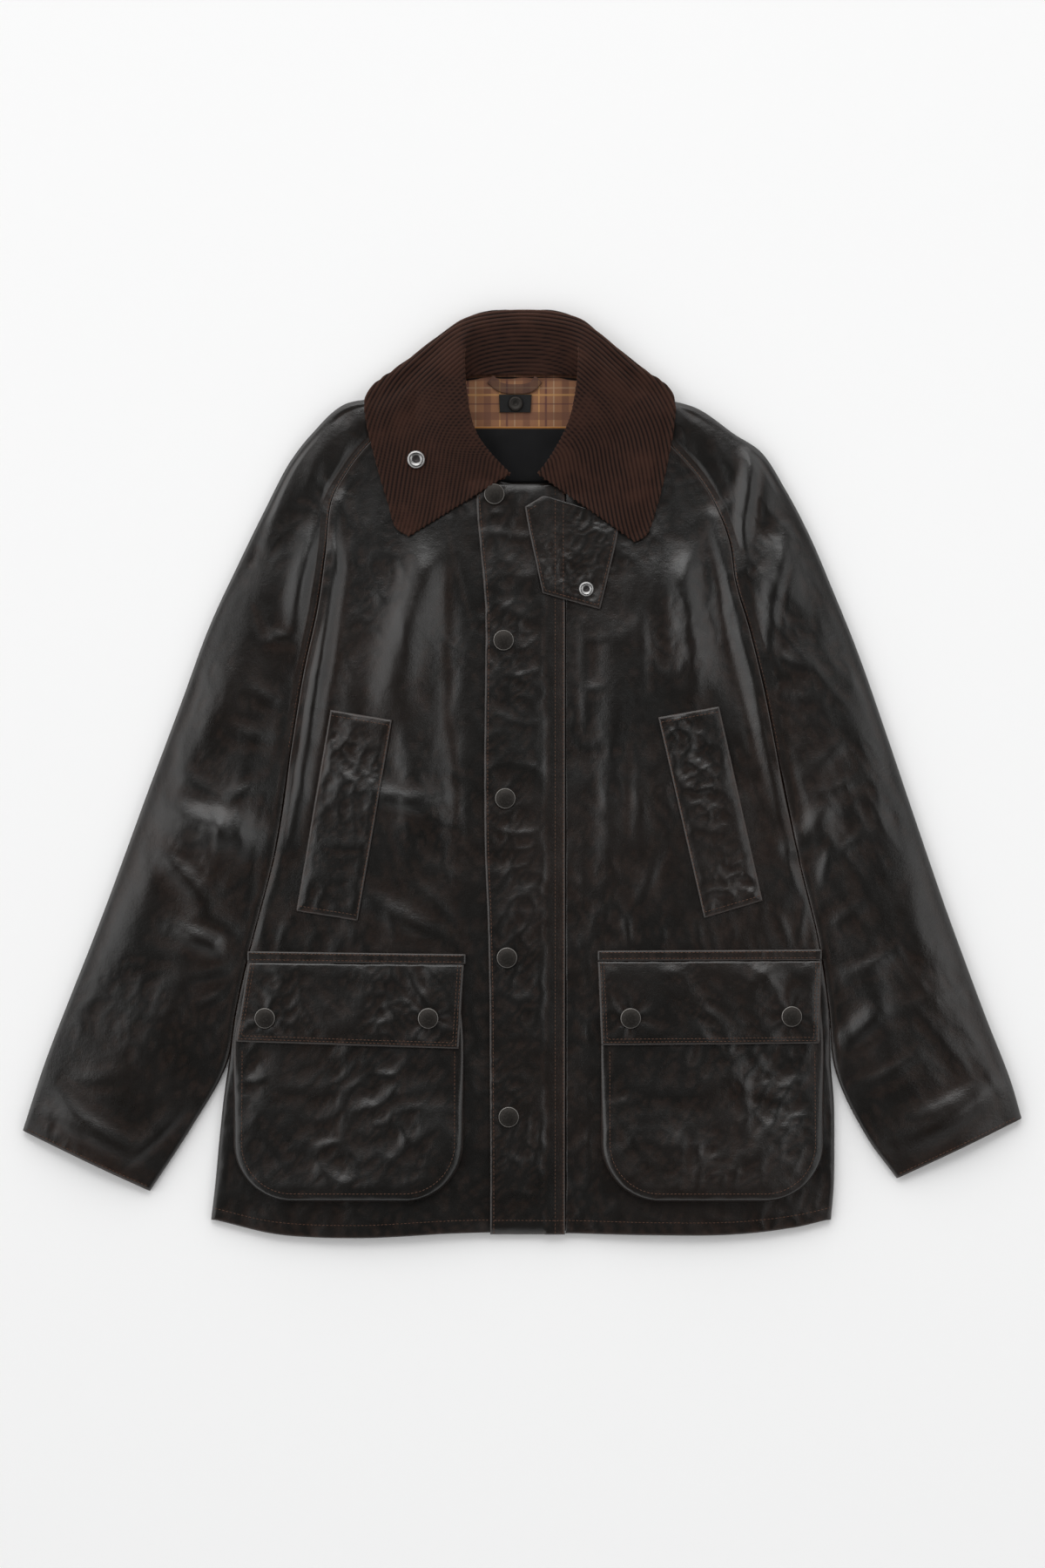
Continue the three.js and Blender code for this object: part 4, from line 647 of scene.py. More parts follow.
def shell(name, grid, thickness, material, node, slot, sides, down=False, mirrored=False, extra=None):
    """A closed thin shell of cloth whose outer face is the grid, with its worn edges marked and painted
    shade marked in its troughs.
    """
    rows, columns = grid.shape[:2]
    normal = np.zeros_like(grid)
    normal[..., 2] = 1
    if not down:
        normal = grid_normals(grid) * (-1 if mirrored else 1)
    inner = grid - normal * thickness
    count = rows * columns
    outer_faces = grid_faces(rows, columns)
    rim = np.concatenate([
        np.arange(columns), np.arange(1, rows) * columns + columns - 1,
        (rows - 1) * columns + np.arange(columns - 2, -1, -1), np.arange(rows - 2, 0, -1) * columns,
    ])
    after = np.roll(rim, -1)
    rim_faces = np.stack([after, rim, rim + count, after + count], axis=1)
    faces = np.concatenate([outer_faces, outer_faces[:, ::-1] + count, rim_faces])
    faces = faces[:, ::-1] if mirrored else faces
    worn = np.zeros((rows, columns))
    if sides:
        worn = EDGE_WEAR * np.exp(-edge_gap(grid, sides) / WEAR_REACH)
    # Troughs, where the cloth curves up, raise the worn mark and ridges lower it: this part is painted
    # shade, tinting the troughs brown.
    painted_trough_shade = np.gradient(np.gradient(grid[..., 2], axis=0), axis=0)
    painted_trough_shade = painted_trough_shade + np.gradient(np.gradient(grid[..., 2], axis=1), axis=1)
    worn = np.clip(worn + np.clip(painted_trough_shade * 5, -0.2, 0.35), 0, 1)
    attributes = {"worn": np.concatenate([worn.ravel(), worn.ravel()])}
    for key, values in (extra or {}).items():
        attributes[key] = np.concatenate([values.ravel(), values.ravel()])
    points = np.concatenate([grid.reshape(-1, 3), inner.reshape(-1, 3)])
    piece = make_piece(name, points, faces, [material], attributes=attributes, crisp=len(rim))
    return settle(piece, [node])


def settle(piece, nodes):
    """The piece goes with the body and stands for its solids."""
    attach(piece, "root")
    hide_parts(*nodes)
    return piece


def waxed_piece(node, grid, thickness, worn, laid_part=slice(None), **options):
    """A shell of waxed cotton, laid so that later pieces can rest on it."""
    finish = finish_of("waxed_cotton")
    piece = shell(node + "_cloth", grid, thickness, finish, node, "waxed_cotton", worn, **options)
    laid.add(grid[:, laid_part])
    return piece


def edge_drop(gap, depth=EDGE_DROP, reach=2.0):
    """How much lower the cloth lies at its edges."""
    return depth * smooth(reach, 0, gap)


def thickness_of(context, cloth):
    return getattr(context.scene.jacket_cloth, cloth) / MM


def between(left, right, columns):
    """A grid of places between two edges."""
    u = np.linspace(0, 1, columns)[None, :, None]
    left, right = np.asarray(left, float)[:, None], np.asarray(right, float)[:, None]
    return mix(left, right, u)


def quad(corners, cell):
    """A grid of places inside four corners: upper left, upper right, lower left, lower right."""
    a, b, c, d = (np.array(corner, float) for corner in corners)
    rows = int(np.linalg.norm(a - c) / cell) + 2
    columns = int(np.linalg.norm(b - a) / cell) + 2
    v = np.linspace(0, 1, rows)[:, None]
    return between(mix(c, a, v), mix(d, b, v), columns)


def laid_over(places, thickness, reach=3.0, soft=3.0):
    """The outer face of a piece that lies on what is below it."""
    x, y = places[..., 0], places[..., 1]
    z = laid.rest(x, y, reach, soft) + REST_GAP + thickness
    return np.stack([x, y, z], axis=-1)


# Materials


def set_range(node, numbers):
    """Fills a map range: from low, from high, to low, to high."""
    node.interpolation_type = "SMOOTHSTEP"
    for key, number in zip(("From Min", "From Max", "To Min", "To Max"), numbers):
        node.inputs[key].default_value = number


class Shade:
    """A material and short ways to add and join its nodes."""

    def __init__(self, name):
        self.material = bpy.data.materials.new(name + "_finish")
        self.material.use_nodes = True
        self.tree = self.material.node_tree
        self.tree.nodes.clear()
        self.output = self.tree.nodes.new("ShaderNodeOutputMaterial")
        self.surface = self.add("ShaderNodeBsdfPrincipled")
        self.tree.links.new(self.surface.outputs[0], self.output.inputs[0])
        self.place = self.add("ShaderNodeTexCoord").outputs["Object"]

    def add(self, kind, **settings):
        node = self.tree.nodes.new(kind)
        for key, value in settings.items():
            if key in node.inputs:
                node.inputs[key].default_value = value
            else:
                setattr(node, key, value)
        return node

    def join(self, source, target):
        self.tree.links.new(source, target)

    def noise(self, scale, detail=3.0, roughness=0.55, kind="FBM"):
        node = self.add("ShaderNodeTexNoise", noise_type=kind, Scale=scale, Detail=detail,
                        Roughness=roughness)
        self.join(self.place, node.inputs["Vector"])
        return node.outputs["Fac"]

    def math(self, operation, first, second=None, third=None):
        node = self.add("ShaderNodeMath", operation=operation)
        for slot, value in enumerate((first, second, third)):
            if value is None:
                continue
            if isinstance(value, (int, float)):
                node.inputs[slot].default_value = value
            else:
                self.join(value, node.inputs[slot])
        return node.outputs[0]

    def remap(self, value, low, high, to_low=0.0, to_high=1.0):
        node = self.add("ShaderNodeMapRange")
        set_range(node, (low, high, to_low, to_high))
        self.join(value, node.inputs["Value"])
        return node.outputs["Result"]

    def blend(self, share, first, second):
        node = self.add("ShaderNodeMix", data_type="RGBA")
        if isinstance(share, (int, float)):
            node.inputs[0].default_value = share
        else:
            self.join(share, node.inputs[0])
        for slot, value in ((6, first), (7, second)):
            if isinstance(value, tuple):
                node.inputs[slot].default_value = (*value, 1)
            else:
                self.join(value, node.inputs[slot])
        return node.outputs[2]

    def attribute(self, name):
        return self.add("ShaderNodeAttribute", attribute_name=name).outputs["Fac"]

    def bump(self, height, distance, strength=1.0, under=None):
        node = self.add("ShaderNodeBump", Strength=strength, Distance=distance)
        self.join(height, node.inputs["Height"])
        if under is not None:
            self.join(under, node.inputs["Normal"])
        return node.outputs["Normal"]

    def waves(self, pitch, turn=0.0):
        """A fine ripple of one pitch, turned about Z."""
        mapping = self.add("ShaderNodeMapping", Rotation=(0, 0, turn))
        self.join(self.place, mapping.inputs["Vector"])
        scale = 2 * math.pi / (20 * pitch)
        node = self.add("ShaderNodeTexWave", wave_type="BANDS", bands_direction="X", Scale=scale)
        self.join(mapping.outputs[0], node.inputs["Vector"])
        return node.outputs["Fac"]

    def finish(self, colour, roughness, normal=None):
        for value, key in ((colour, "Base Color"), (roughness, "Roughness")):
            if isinstance(value, tuple):
                self.surface.inputs[key].default_value = (*value, 1)
            elif isinstance(value, (int, float)):
                self.surface.inputs[key].default_value = value
            else:
                self.join(value, self.surface.inputs[key])
        if normal is not None:
            self.join(normal, self.surface.inputs["Normal"])
        return self.material


def waxed_cotton():
    """Semi-gloss wax on a fine weave, crinkled, browner where it is rubbed, and browner in its troughs
    as painted shade.
    """
    colours = bpy.context.scene.jacket_colours
    shade = Shade("waxed_cotton")
    wax = tuple(colours.wax)
    brown = tuple(0.5 * (a + b) for a, b in zip(wax, colours.rubbed))
    patches = shade.remap(shade.noise(7, 4), 0.42, 0.68)
    colour = shade.blend(shade.math("MULTIPLY", patches, 0.32), wax, brown)
    spots = shade.remap(shade.noise(160, 5, 0.65), 0.35, 0.75)
    spots = shade.math("MULTIPLY_ADD", spots, 0.7, 0.4)
    # The worn attribute is edge wear plus painted shade in the troughs; both blend the colour towards
    # the rubbed brown.
    rubbed = shade.math("MULTIPLY", shade.attribute("worn"), spots)
    colour = shade.blend(rubbed, colour, tuple(colours.rubbed))
    grain = shade.noise(900, 2)
    colour = shade.blend(shade.math("MULTIPLY", grain, 0.22), colour, (0.004, 0.0035, 0.003))
    streaks = shade.noise(34, 6, 0.68)
    roughness = shade.math("MULTIPLY_ADD", streaks, 0.24, 0.19)
    roughness = shade.math("MULTIPLY_ADD", rubbed, 0.10, roughness)
    crinkle = shade.noise(34, 6, 0.6, "RIDGED_MULTIFRACTAL")
    normal = shade.bump(crinkle, 0.0005, 0.35)
    normal = shade.bump(shade.noise(85, 3, 0.5), 0.0006, 0.35, normal)
    weave = shade.math("ADD", shade.waves(0.0011), shade.waves(0.0011, math.pi / 2))
    normal = shade.bump(weave, 0.000016, 0.5, normal)
    normal = shade.bump(shade.noise(320, 4, 0.6), 0.00034, 0.4, normal)
    normal = shade.bump(grain, 0.00018, 0.5, normal)
    shade.surface.inputs["Specular IOR Level"].default_value = 0.58
    shade.surface.inputs["Coat Weight"].default_value = 0.1
    shade.surface.inputs["Coat Roughness"].default_value = 0.42
    return shade.finish(colour, roughness, normal)


def corduroy():
    """Brown pile with fuzz and rubbed patches, lighter on the wales and darker between them, where the
    dark is painted shade.
    """
    colours = bpy.context.scene.jacket_colours
    shade = Shade("corduroy")
    pile = tuple(colours.corduroy)
    light = tuple(c * 1.5 for c in pile)
    # dark is the colour of the painted shade between the wales, and also of the dark fuzz.
    dark = tuple(c * 0.1 for c in pile)
    wale = shade.attribute("wale")
    # Painted shade: the hollows between the wales take the dark colour, following the wale attribute.
    colour = shade.blend(shade.remap(wale, 0.2, 0.9), dark, pile)
    patches = shade.remap(shade.noise(40, 4), 0.4, 0.7)
    colour = shade.blend(shade.math("MULTIPLY", patches, 0.45), colour, light)
    fuzz = shade.noise(1500, 3, 0.7)
    colour = shade.blend(shade.math("MULTIPLY", fuzz, 0.3), colour, dark)
    normal = shade.bump(fuzz, 0.0004, 0.6)
    shade.surface.inputs["Sheen Weight"].default_value = 0.25
    shade.surface.inputs["Sheen Roughness"].default_value = 0.4
    shade.surface.inputs["Sheen Tint"].default_value = (0.5, 0.25, 0.16, 1)
    shade.surface.inputs["Specular IOR Level"].default_value = 0.2
    return shade.finish(colour, 0.9, normal)


# Lines of the lining's check: place in the repeat, width, colour, strength
CHECK_REPEAT = 0.034
CHECK_ACROSS = [
    (0.10, 0.16, (0.115, 0.045, 0.026), 0.62), (0.42, 0.035, (0.42, 0.22, 0.075), 0.8),
    (0.60, 0.05, (0.075, 0.022, 0.022), 0.75), (0.80, 0.03, (0.36, 0.25, 0.15), 0.6),
]
CHECK_DOWN = [
    (0.16, 0.18, (0.115, 0.045, 0.026), 0.62), (0.47, 0.03, (0.075, 0.022, 0.022), 0.7),
    (0.70, 0.04, (0.42, 0.22, 0.075), 0.8), (0.88, 0.03, (0.36, 0.25, 0.15), 0.55),
]


def check_lining():
    """Woven cotton in a plain check of warm browns."""
    shade = Shade("check_lining")
    split = shade.add("ShaderNodeSeparateXYZ")
    shade.join(shade.place, split.inputs[0])
    colour = tuple(bpy.context.scene.jacket_colours.check_ground)
    for axis, table in ((0, CHECK_ACROSS), (1, CHECK_DOWN)):
        part = shade.math("FRACT", shade.math("DIVIDE", split.outputs[axis], CHECK_REPEAT))
        for centre, width, line, strength in table:
            off = shade.math("ABSOLUTE", shade.math("SUBTRACT", part, centre))
            here = shade.remap(off, width * 0.5, width * 0.62, strength, 0)
            colour = shade.blend(here, colour, line)
    colour = shade.blend(shade.attribute("darker"), colour, (0.030, 0.010, 0.007))
    thread = shade.math("MULTIPLY", shade.waves(0.0007), shade.waves(0.0007, math.pi / 2))
    colour = shade.blend(shade.math("MULTIPLY", thread, 0.25), colour, (0.05, 0.022, 0.012))
    normal = shade.bump(thread, 0.00015, 0.7)
    normal = shade.bump(shade.noise(120, 3), 0.0006, 0.3, normal)
    return shade.finish(colour, 0.85, normal)


def black_weave(name, pitch, roughness, tint):
    """Black woven tape or label cloth."""
    shade = Shade(name)
    rib = shade.waves(pitch)
    cross = shade.waves(pitch * 1.4, math.radians(62))
    colour = shade.blend(shade.math("MULTIPLY", rib, cross), tint, tuple(c * 2.2 for c in tint))
    colour = shade.blend(shade.attribute("binding"), colour, (0.45, 0.19, 0.045))
    normal = shade.bump(shade.math("ADD", rib, cross), 0.00018, 0.8)
    shade.surface.inputs["Specular IOR Level"].default_value = 0.2
    return shade.finish(colour, roughness, normal)


def metal(name, tint, roughness, worn_tint):
    """Plated or lacquered metal with fine scratches."""
    shade = Shade(name)
    scratch = shade.remap(shade.noise(700, 4, 0.7), 0.45, 0.75)
    colour = shade.blend(shade.math("MULTIPLY", scratch, 0.35), tint, worn_tint)
    shade.surface.inputs["Metallic"].default_value = 1
    normal = shade.bump(shade.noise(1400, 2), 0.00005, 0.4)
    return shade.finish(colour, shade.math("MULTIPLY_ADD", scratch, 0.15, roughness), normal)


def thread_finish():
    shade = Shade("thread")
    twist = shade.noise(2600, 2)
    tint = tuple(bpy.context.scene.jacket_colours.thread)
    colour = shade.blend(twist, tuple(c * 0.55 for c in tint), tuple(c * 1.3 for c in tint))
    return shade.finish(colour, 0.75, shade.bump(twist, 0.0002, 0.6))


def finish_of(name):
    """The material of that name, made once."""
    makers = {
        "waxed_cotton": waxed_cotton,
        "corduroy": corduroy,
        "check_lining": check_lining,
        "black_tape": lambda: black_weave("black_tape", 0.0009, 0.8, (0.010, 0.010, 0.010)),
        "label_cloth": lambda: black_weave("label_cloth", 0.0005, 0.75, (0.0045, 0.0045, 0.005)),
        "cap_lacquer": lambda: metal("cap_lacquer", (0.036, 0.033, 0.030), 0.5, (0.10, 0.09, 0.085)),
        "cap_rim": lambda: metal("cap_rim", (0.17, 0.16, 0.15), 0.32, (0.30, 0.29, 0.28)),
        "silver": lambda: metal("silver", (0.34, 0.335, 0.33), 0.27, (0.55, 0.55, 0.55)),
        "stud_hole": lambda: metal("stud_hole", (0.05, 0.045, 0.045), 0.5, (0.10, 0.10, 0.10)),
        "thread": thread_finish,
    }
    return bpy.data.materials.get(name + "_finish") or makers[name]()


# Pieces


def roll_edge(bend, radius, steps=7):
    """The last stretch of a wall at its edge: how far out and how far down each step is."""
    part = np.linspace(0, 1, steps)
    curvature = max(bend, 0.001) / radius
    turned = part * np.pi * radius * curvature / 2
    return np.sin(turned) / curvature, (1 - np.cos(turned)) / curvature


def rolled_under(y):
    """0 where the sleeve is sewn on, 1 where both edges are free; less where they lie close."""
    close = mix(0.2, 1, smooth(-225, -275, y))
    return smooth(UNDERARM_Y + 15, UNDERARM_Y - 15, y) * close


def body_seam(sleeve, side):
    joined = [(row[0], row[1]) for row in sleeve if row[1] > side[-1][1] + NOTCH][::-1]
    return list(side) + joined


def patch(side, centre, hem, neck, rows, columns):
    """A grid of places between four border curves."""
    left = curve(side, rows)
    low, high = side[0][1], side[-1][1]
    v = np.clip((left[:, 1] - low) / (high - low), 0, 1)
    right = evenly(centre, v)
    lower, upper = evenly(hem, columns), evenly(neck, columns)
    corners = [np.array(p, float) for p in (hem[0], hem[-1], neck[0], neck[-1])]
    u, v = columns[None, :, None], v[:, None, None]
    places = (1 - u) * left[:, None] + u * right[:, None] + (1 - v) * lower[None] + v * upper[None]
    weights = ((1 - u) * (1 - v), u * (1 - v), (1 - u) * v, u * v)
    for weight, corner in zip(weights, corners):
        places = places - weight * corner
    return places


def front_grid(sleeve, side, hem, neck, centre_x, outwards, cell):
    """The outer face of one front, from its rolled side to its middle."""
    rows = np.linspace(0, 1, int(FRONT_SIZE[1] / cell))
    columns = np.linspace(0, 1, int(FRONT_SIZE[0] / cell))

    def inset(points):
        return [(x - outwards * SEAM_GAP, y) for x, y in points]

    ends = (hem[-1], neck[-1]) if outwards < 0 else (hem[0], neck[0])
    centre = [(centre_x, ends[0][1]), (centre_x, ends[1][1])]
    across = hem if outwards < 0 else hem[::-1]
    top = neck if outwards < 0 else neck[::-1]
    flat = patch(inset(body_seam(sleeve, side)), centre, inset(across), inset(top), rows, columns)
    lines = []
    for row in flat:
        y0 = row[0, 1]
        out, drop = roll_edge(rolled_under(y0), TOP_LEVEL - 3)
        start = row[0, 0] - outwards * out[-1]
        level = upper_level(np.array([start]), np.array([y0]))[0]
        rolled = np.stack([start + outwards * out, np.full(out.shape, y0), level - drop], axis=1)[:0:-1]
        u = (row[:, 0] - row[0, 0]) / (row[-1, 0] - row[0, 0])
        x = mix(start, row[-1, 0], u)
        swell = BODY_SWELL * np.sin(np.pi * np.clip(u, 0, 1))
        body = np.stack([x, row[:, 1], upper_level(x, row[:, 1]) + swell], axis=1)
        lines.append(np.concatenate([rolled, body]))
    grid = np.array(lines)
    x, y = grid[..., 0], grid[..., 1]
    seam = curve(body_seam(sleeve, side), np.linspace(0, 1, 90))
    gap, _, share = nearest(seam, x, y)
    inward = smooth(0, 12, gap)
    free = np.maximum(pressing(x, y), CREASE_PRESS)
    detail = 0.6 * creases(BODY_CREASES, x, y) + 0.7 * creases(LONG_FOLDS, x, y)
    detail *= free * smooth(2, 10, gap)
    detail += (rumple(x, y, 11, 84, 0.3) + crumple(x, y, 12, 42, 0.42, -20, 1.35)) * inward
    detail += puckers(share * 700, gap, 3 if outwards < 0 else 4, 16, 0.35, 12) * smooth(0, 3, gap)
    band = np.abs(y + 152)
    detail += puckers(x + PAST_SIDE, band, 5, 11, 0.4, 16) * smooth(-156, -150, y)
    fly_side = np.abs(x - (FLY_EDGE[0][0] if outwards < 0 else FLY_SEAM_X))
    detail += puckers(y + PAST_HEM, fly_side, 6, 15, 0.35, 14)
    hem_gap = y - np.interp(x, *np.array(across if across[0][0] < across[-1][0] else across[::-1]).T)
    detail += puckers(x + PAST_SIDE, np.abs(hem_gap - 10), 7, 10, 0.35, 10)
    grid[..., 2] += detail
    return grid if outwards < 0 else grid[:, ::-1]


def sleeve_grid(table, cell, seed):
    """The outer face of one sleeve: out along the floor, over its fold and back on top."""
    table = np.array(table, float)
    steps = np.linspace(1, 0, int(SLEEVE_SIZE[1] / cell))
    inner, outer = curve(table[:, :2], steps), curve(table[:, 2:], steps)
    top_count = int(SLEEVE_SIZE[0] / cell)
    sections = []
    for start, end in zip(inner, outer):
        width = np.linalg.norm(end - start)
        way = (end - start) / width
        floor = float(raised(start[1]))
        bend = rolled_under(start[1])
        seam_top = float(upper_level(start[:1], start[1:])[0])
        middle = (floor + seam_top) / 2

        def place(distance, z):
            distance = np.atleast_1d(distance)
            z = np.broadcast_to(z, distance.shape)
            return np.stack([start[0] + way[0] * distance, start[1] + way[1] * distance, z], axis=1)

        out, drop = roll_edge(bend, middle - floor - SEAM_GAP / 2, 5)
        top_out, top_drop = roll_edge(bend, seam_top - middle - SEAM_GAP / 2, 5)
        edge = SLEEVE_EDGE / 2
        low = place(out[-1] - out[:0:-1], floor + drop[:0:-1])
        reach = np.linspace(out[-1], width - edge, 10)
        flat = place(reach, raised(start[1] + way[1] * reach))
        ground = float(raised(start[1] + way[1] * (width - edge)))
        angle = np.pi * np.linspace(0, 1, 10)[1:-1]
        fold = place(width - edge + edge * np.sin(angle), ground + edge - edge * np.cos(angle))
        part = np.linspace(1, 0, top_count)
        reach = mix(top_out[-1], width - edge, part)
        top = place(reach, 0.0)
        swell = SLEEVE_SWELL * min(1, width / FULL_SLEEVE) * np.sin(np.pi * part)
        calm = mix(1, 0.35, smooth(0.75, 1, part))
        folds = main_folds(top[:, 0], top[:, 1]) * calm
        top[:, 2] = TOP_LEVEL + raised(top[:, 1]) + (SLEEVE_EDGE - TOP_LEVEL) * part + swell + folds
        top[:, 2] += (seam_top - top[-1, 2]) * smooth(0.5, 1, np.linspace(0, 1, top_count))
        x, y = top[:, 0], top[:, 1]
        soft = smooth(0, 0.12, part) * smooth(1, 0.88, part)
        near_seam = reach - top_out[-1]
        top[:, 2] += (0.6 * creases(SLEEVE_CREASES, x, y) + creases(LONG_FOLDS, x, y)) * soft
        lean = 24 if start[0] < 0 else -24
        top[:, 2] += (rumple(x, y, seed, 96, 0.4) + crumple(x, y, seed + 1, 52, 0.45, lean, 1.9)) * soft
        gathers = puckers(start[1] + PAST_HEM, near_seam, seed + 2, 16, 0.35, 12)
        top[:, 2] += gathers * smooth(0, 3, near_seam)
        finish = place(top_out[-1] - top_out[1:], seam_top - top_drop[1:])
        sections.append(np.concatenate([low, flat, fold, top, finish]))
    return np.array(sections)


def back_grid(cell=9.0):
    """The back, which lies on the floor."""
    right = np.array(body_seam(RIGHT_SLEEVE, RIGHT_SIDE), float) + (SEAM_GAP, 0)
    left = np.array(body_seam(LEFT_SLEEVE, LEFT_SIDE), float) - (SEAM_GAP, 0)
    hem = np.array(RIGHT_HEM[:-1] + LEFT_HEM, float) + (0, 1.5)
    neck = np.array(BACK_NECK, float)
    hem[0], hem[-1] = right[0], left[0]
    neck[0], neck[-1] = right[-1], left[-1]
    v = np.linspace(0, 1, int(BACK_SIZE[1] / cell))
    u = np.linspace(0, 1, int(BACK_SIZE[0] / cell))
    start, end = curve(right, v)[:, None], curve(left, v)[:, None]
    places = mix(start, end, u[None, :, None])
    low = evenly(hem, u)[:, 1] - mix(hem[0, 1], hem[-1, 1], u)
    high = evenly(neck, u)[:, 1] - mix(neck[0, 1], neck[-1, 1], u)
    places[..., 1] += low * (1 - smooth(0, 0.15, v))[:, None] + high * smooth(0.85, 1, v)[:, None]
    return np.dstack([places, raised(places[..., 1]) + 1.5])


def collar_sections():
    """Eight points of each collar section: neck, roll, four to the outer edge and two under it."""
    sections = []
    for neck_x, neck_y, roll_x, roll_y, roll_z, far_x, far_y, *under in COLLAR_WINGS:
        neck_z = TOP_LEVEL + float(raised(neck_y)) - 1 - 2 * smooth(335, 345, neck_y)
        neck = np.array([neck_x, neck_y, neck_z])
        roll = np.array([roll_x, roll_y, roll_z], float)
        far = np.array([far_x, far_y, 0], float)
        reach = np.hypot(*(far - roll)[:2])
        wide = min(1.0, reach / 80)

        def at(a, b, share, z):
            point = mix(a, b, share)
            return np.array([point[0], point[1], z])

        rest = [
            at(roll, far, 0.3, roll_z - mix(1.2, 3, wide)),
            at(roll, far, 0.6, mix(roll_z - 3, WING_LEVEL + 1, wide)),
            at(roll, far, 0.85, mix(roll_z - 6, WING_LEVEL, wide)),
        ]
        if under:
            end = np.array([*under, 0], float)
            rest += [at(far, far, 0, FALL_FOLD_RADIUS), at(far, end, 0.08, 0), end]
        else:
            rest += [
                at(far, far, 0, WING_LEVEL), at(far, roll, -0.2 / reach, WING_LEVEL - 1),
                at(far, far, 0, WING_LEVEL - 2),
            ]
        sections.append([neck, roll, *rest])
    return np.array(sections)


def collar_grid(rows, thickness):
    """The visible face of the collar before its wales, across by along."""
    sections = collar_sections()
    knots = np.arange(8) / 7
    counts = (38, 36, 34, 30, 18, 4, 8)
    spans = zip(knots[:-1], knots[1:], counts)
    span = np.concatenate([np.linspace(a, b, n, endpoint=False) for a, b, n in spans])
    span = np.append(span, 1.0)
    across = np.array([curve(section, span) for section in sections])
    grid = curve(across, np.linspace(0, 1, rows)).transpose(1, 0, 2)
    x, y, z = grid[..., 0], grid[..., 1], grid[..., 2]
    rest = laid.rest(x, y, 4, 5) + REST_GAP + thickness
    over = smooth(4 / 7 + 0.1, 4 / 7, span)[:, None] * smooth(6.5, 9, z)
    lifted = np.maximum(z, 0) + over * np.maximum(rest - z, 0)
    wing = (sections[:, 6, 2] > 1)
    wing_rows = np.interp(np.linspace(0, 1, rows), np.linspace(0, 1, len(sections)), wing)[None, :]
    edge = smooth(4 / 7, 5 / 7, span)[:, None] * wing_rows
    lifted += (1 - over) * edge * np.maximum(rest - np.maximum(z, 0) - (WING_LEVEL - z), 0)
    grid[..., 2] = lifted
    shoulder = smooth(312, 322, y) * smooth(356, 346, y) * smooth(98, 112, np.abs(x + 4))
    for _ in range(SHOULDER_PASSES):
        beside = np.concatenate([grid[:, :1], grid[:, :-1]], axis=1)
        beside = beside + np.concatenate([grid[:, 1:], grid[:, -1:]], axis=1)
        grid = mix(grid, (2 * grid + beside) / 4, shoulder[..., None])
    grid[..., 2] += 1.5 * shoulder * smooth(4 / 7, 5 / 7, span)[:, None]
    return grid, span


def lathe(name, profile, centre, z, materials, bands, sides=48):
    """A turned piece; bands give the profile ring from which each later material starts."""
    profile = np.array(profile, float)
    angle = np.linspace(0, 2 * np.pi, sides, endpoint=False)
    ring = np.stack([np.cos(angle), np.sin(angle)], axis=1)
    radius = np.maximum(profile[:, 0], 0.02)
    xy = radius[:, None, None] * ring[None] + np.array(centre, float)
    height = np.broadcast_to(profile[:, 1][:, None, None] + z, xy.shape[:2] + (1,))
    points = np.concatenate([xy, height], axis=-1)
    faces = grid_faces(len(profile), sides, wrapped=True)
    ring_of = np.repeat(np.arange(len(profile) - 1), sides)
    index = np.zeros(len(faces), int)
    for number, band in enumerate(bands, 1):
        index[ring_of >= band] = number
    return make_piece(name, points.reshape(-1, 3), faces, materials, index)


def cell_of(context):
    return context.scene.jacket_cloth.cell / MM * 1


class JACKET_OT_back(bpy.types.Operator):
    """Lay the back on the floor"""

    bl_idname = "jacket.back"
    bl_label = "Back"

    def execute(self, context):
        grid = back_grid()
        piece = shell("back_cloth", grid, 1.2, finish_of("waxed_cotton"), "back", "waxed_cotton",
                      ["low"], down=True)
        laid.height[:] = 0
        sewn_lines.clear()
        laid.add(back_grid(2.4))
        return {"FINISHED"}


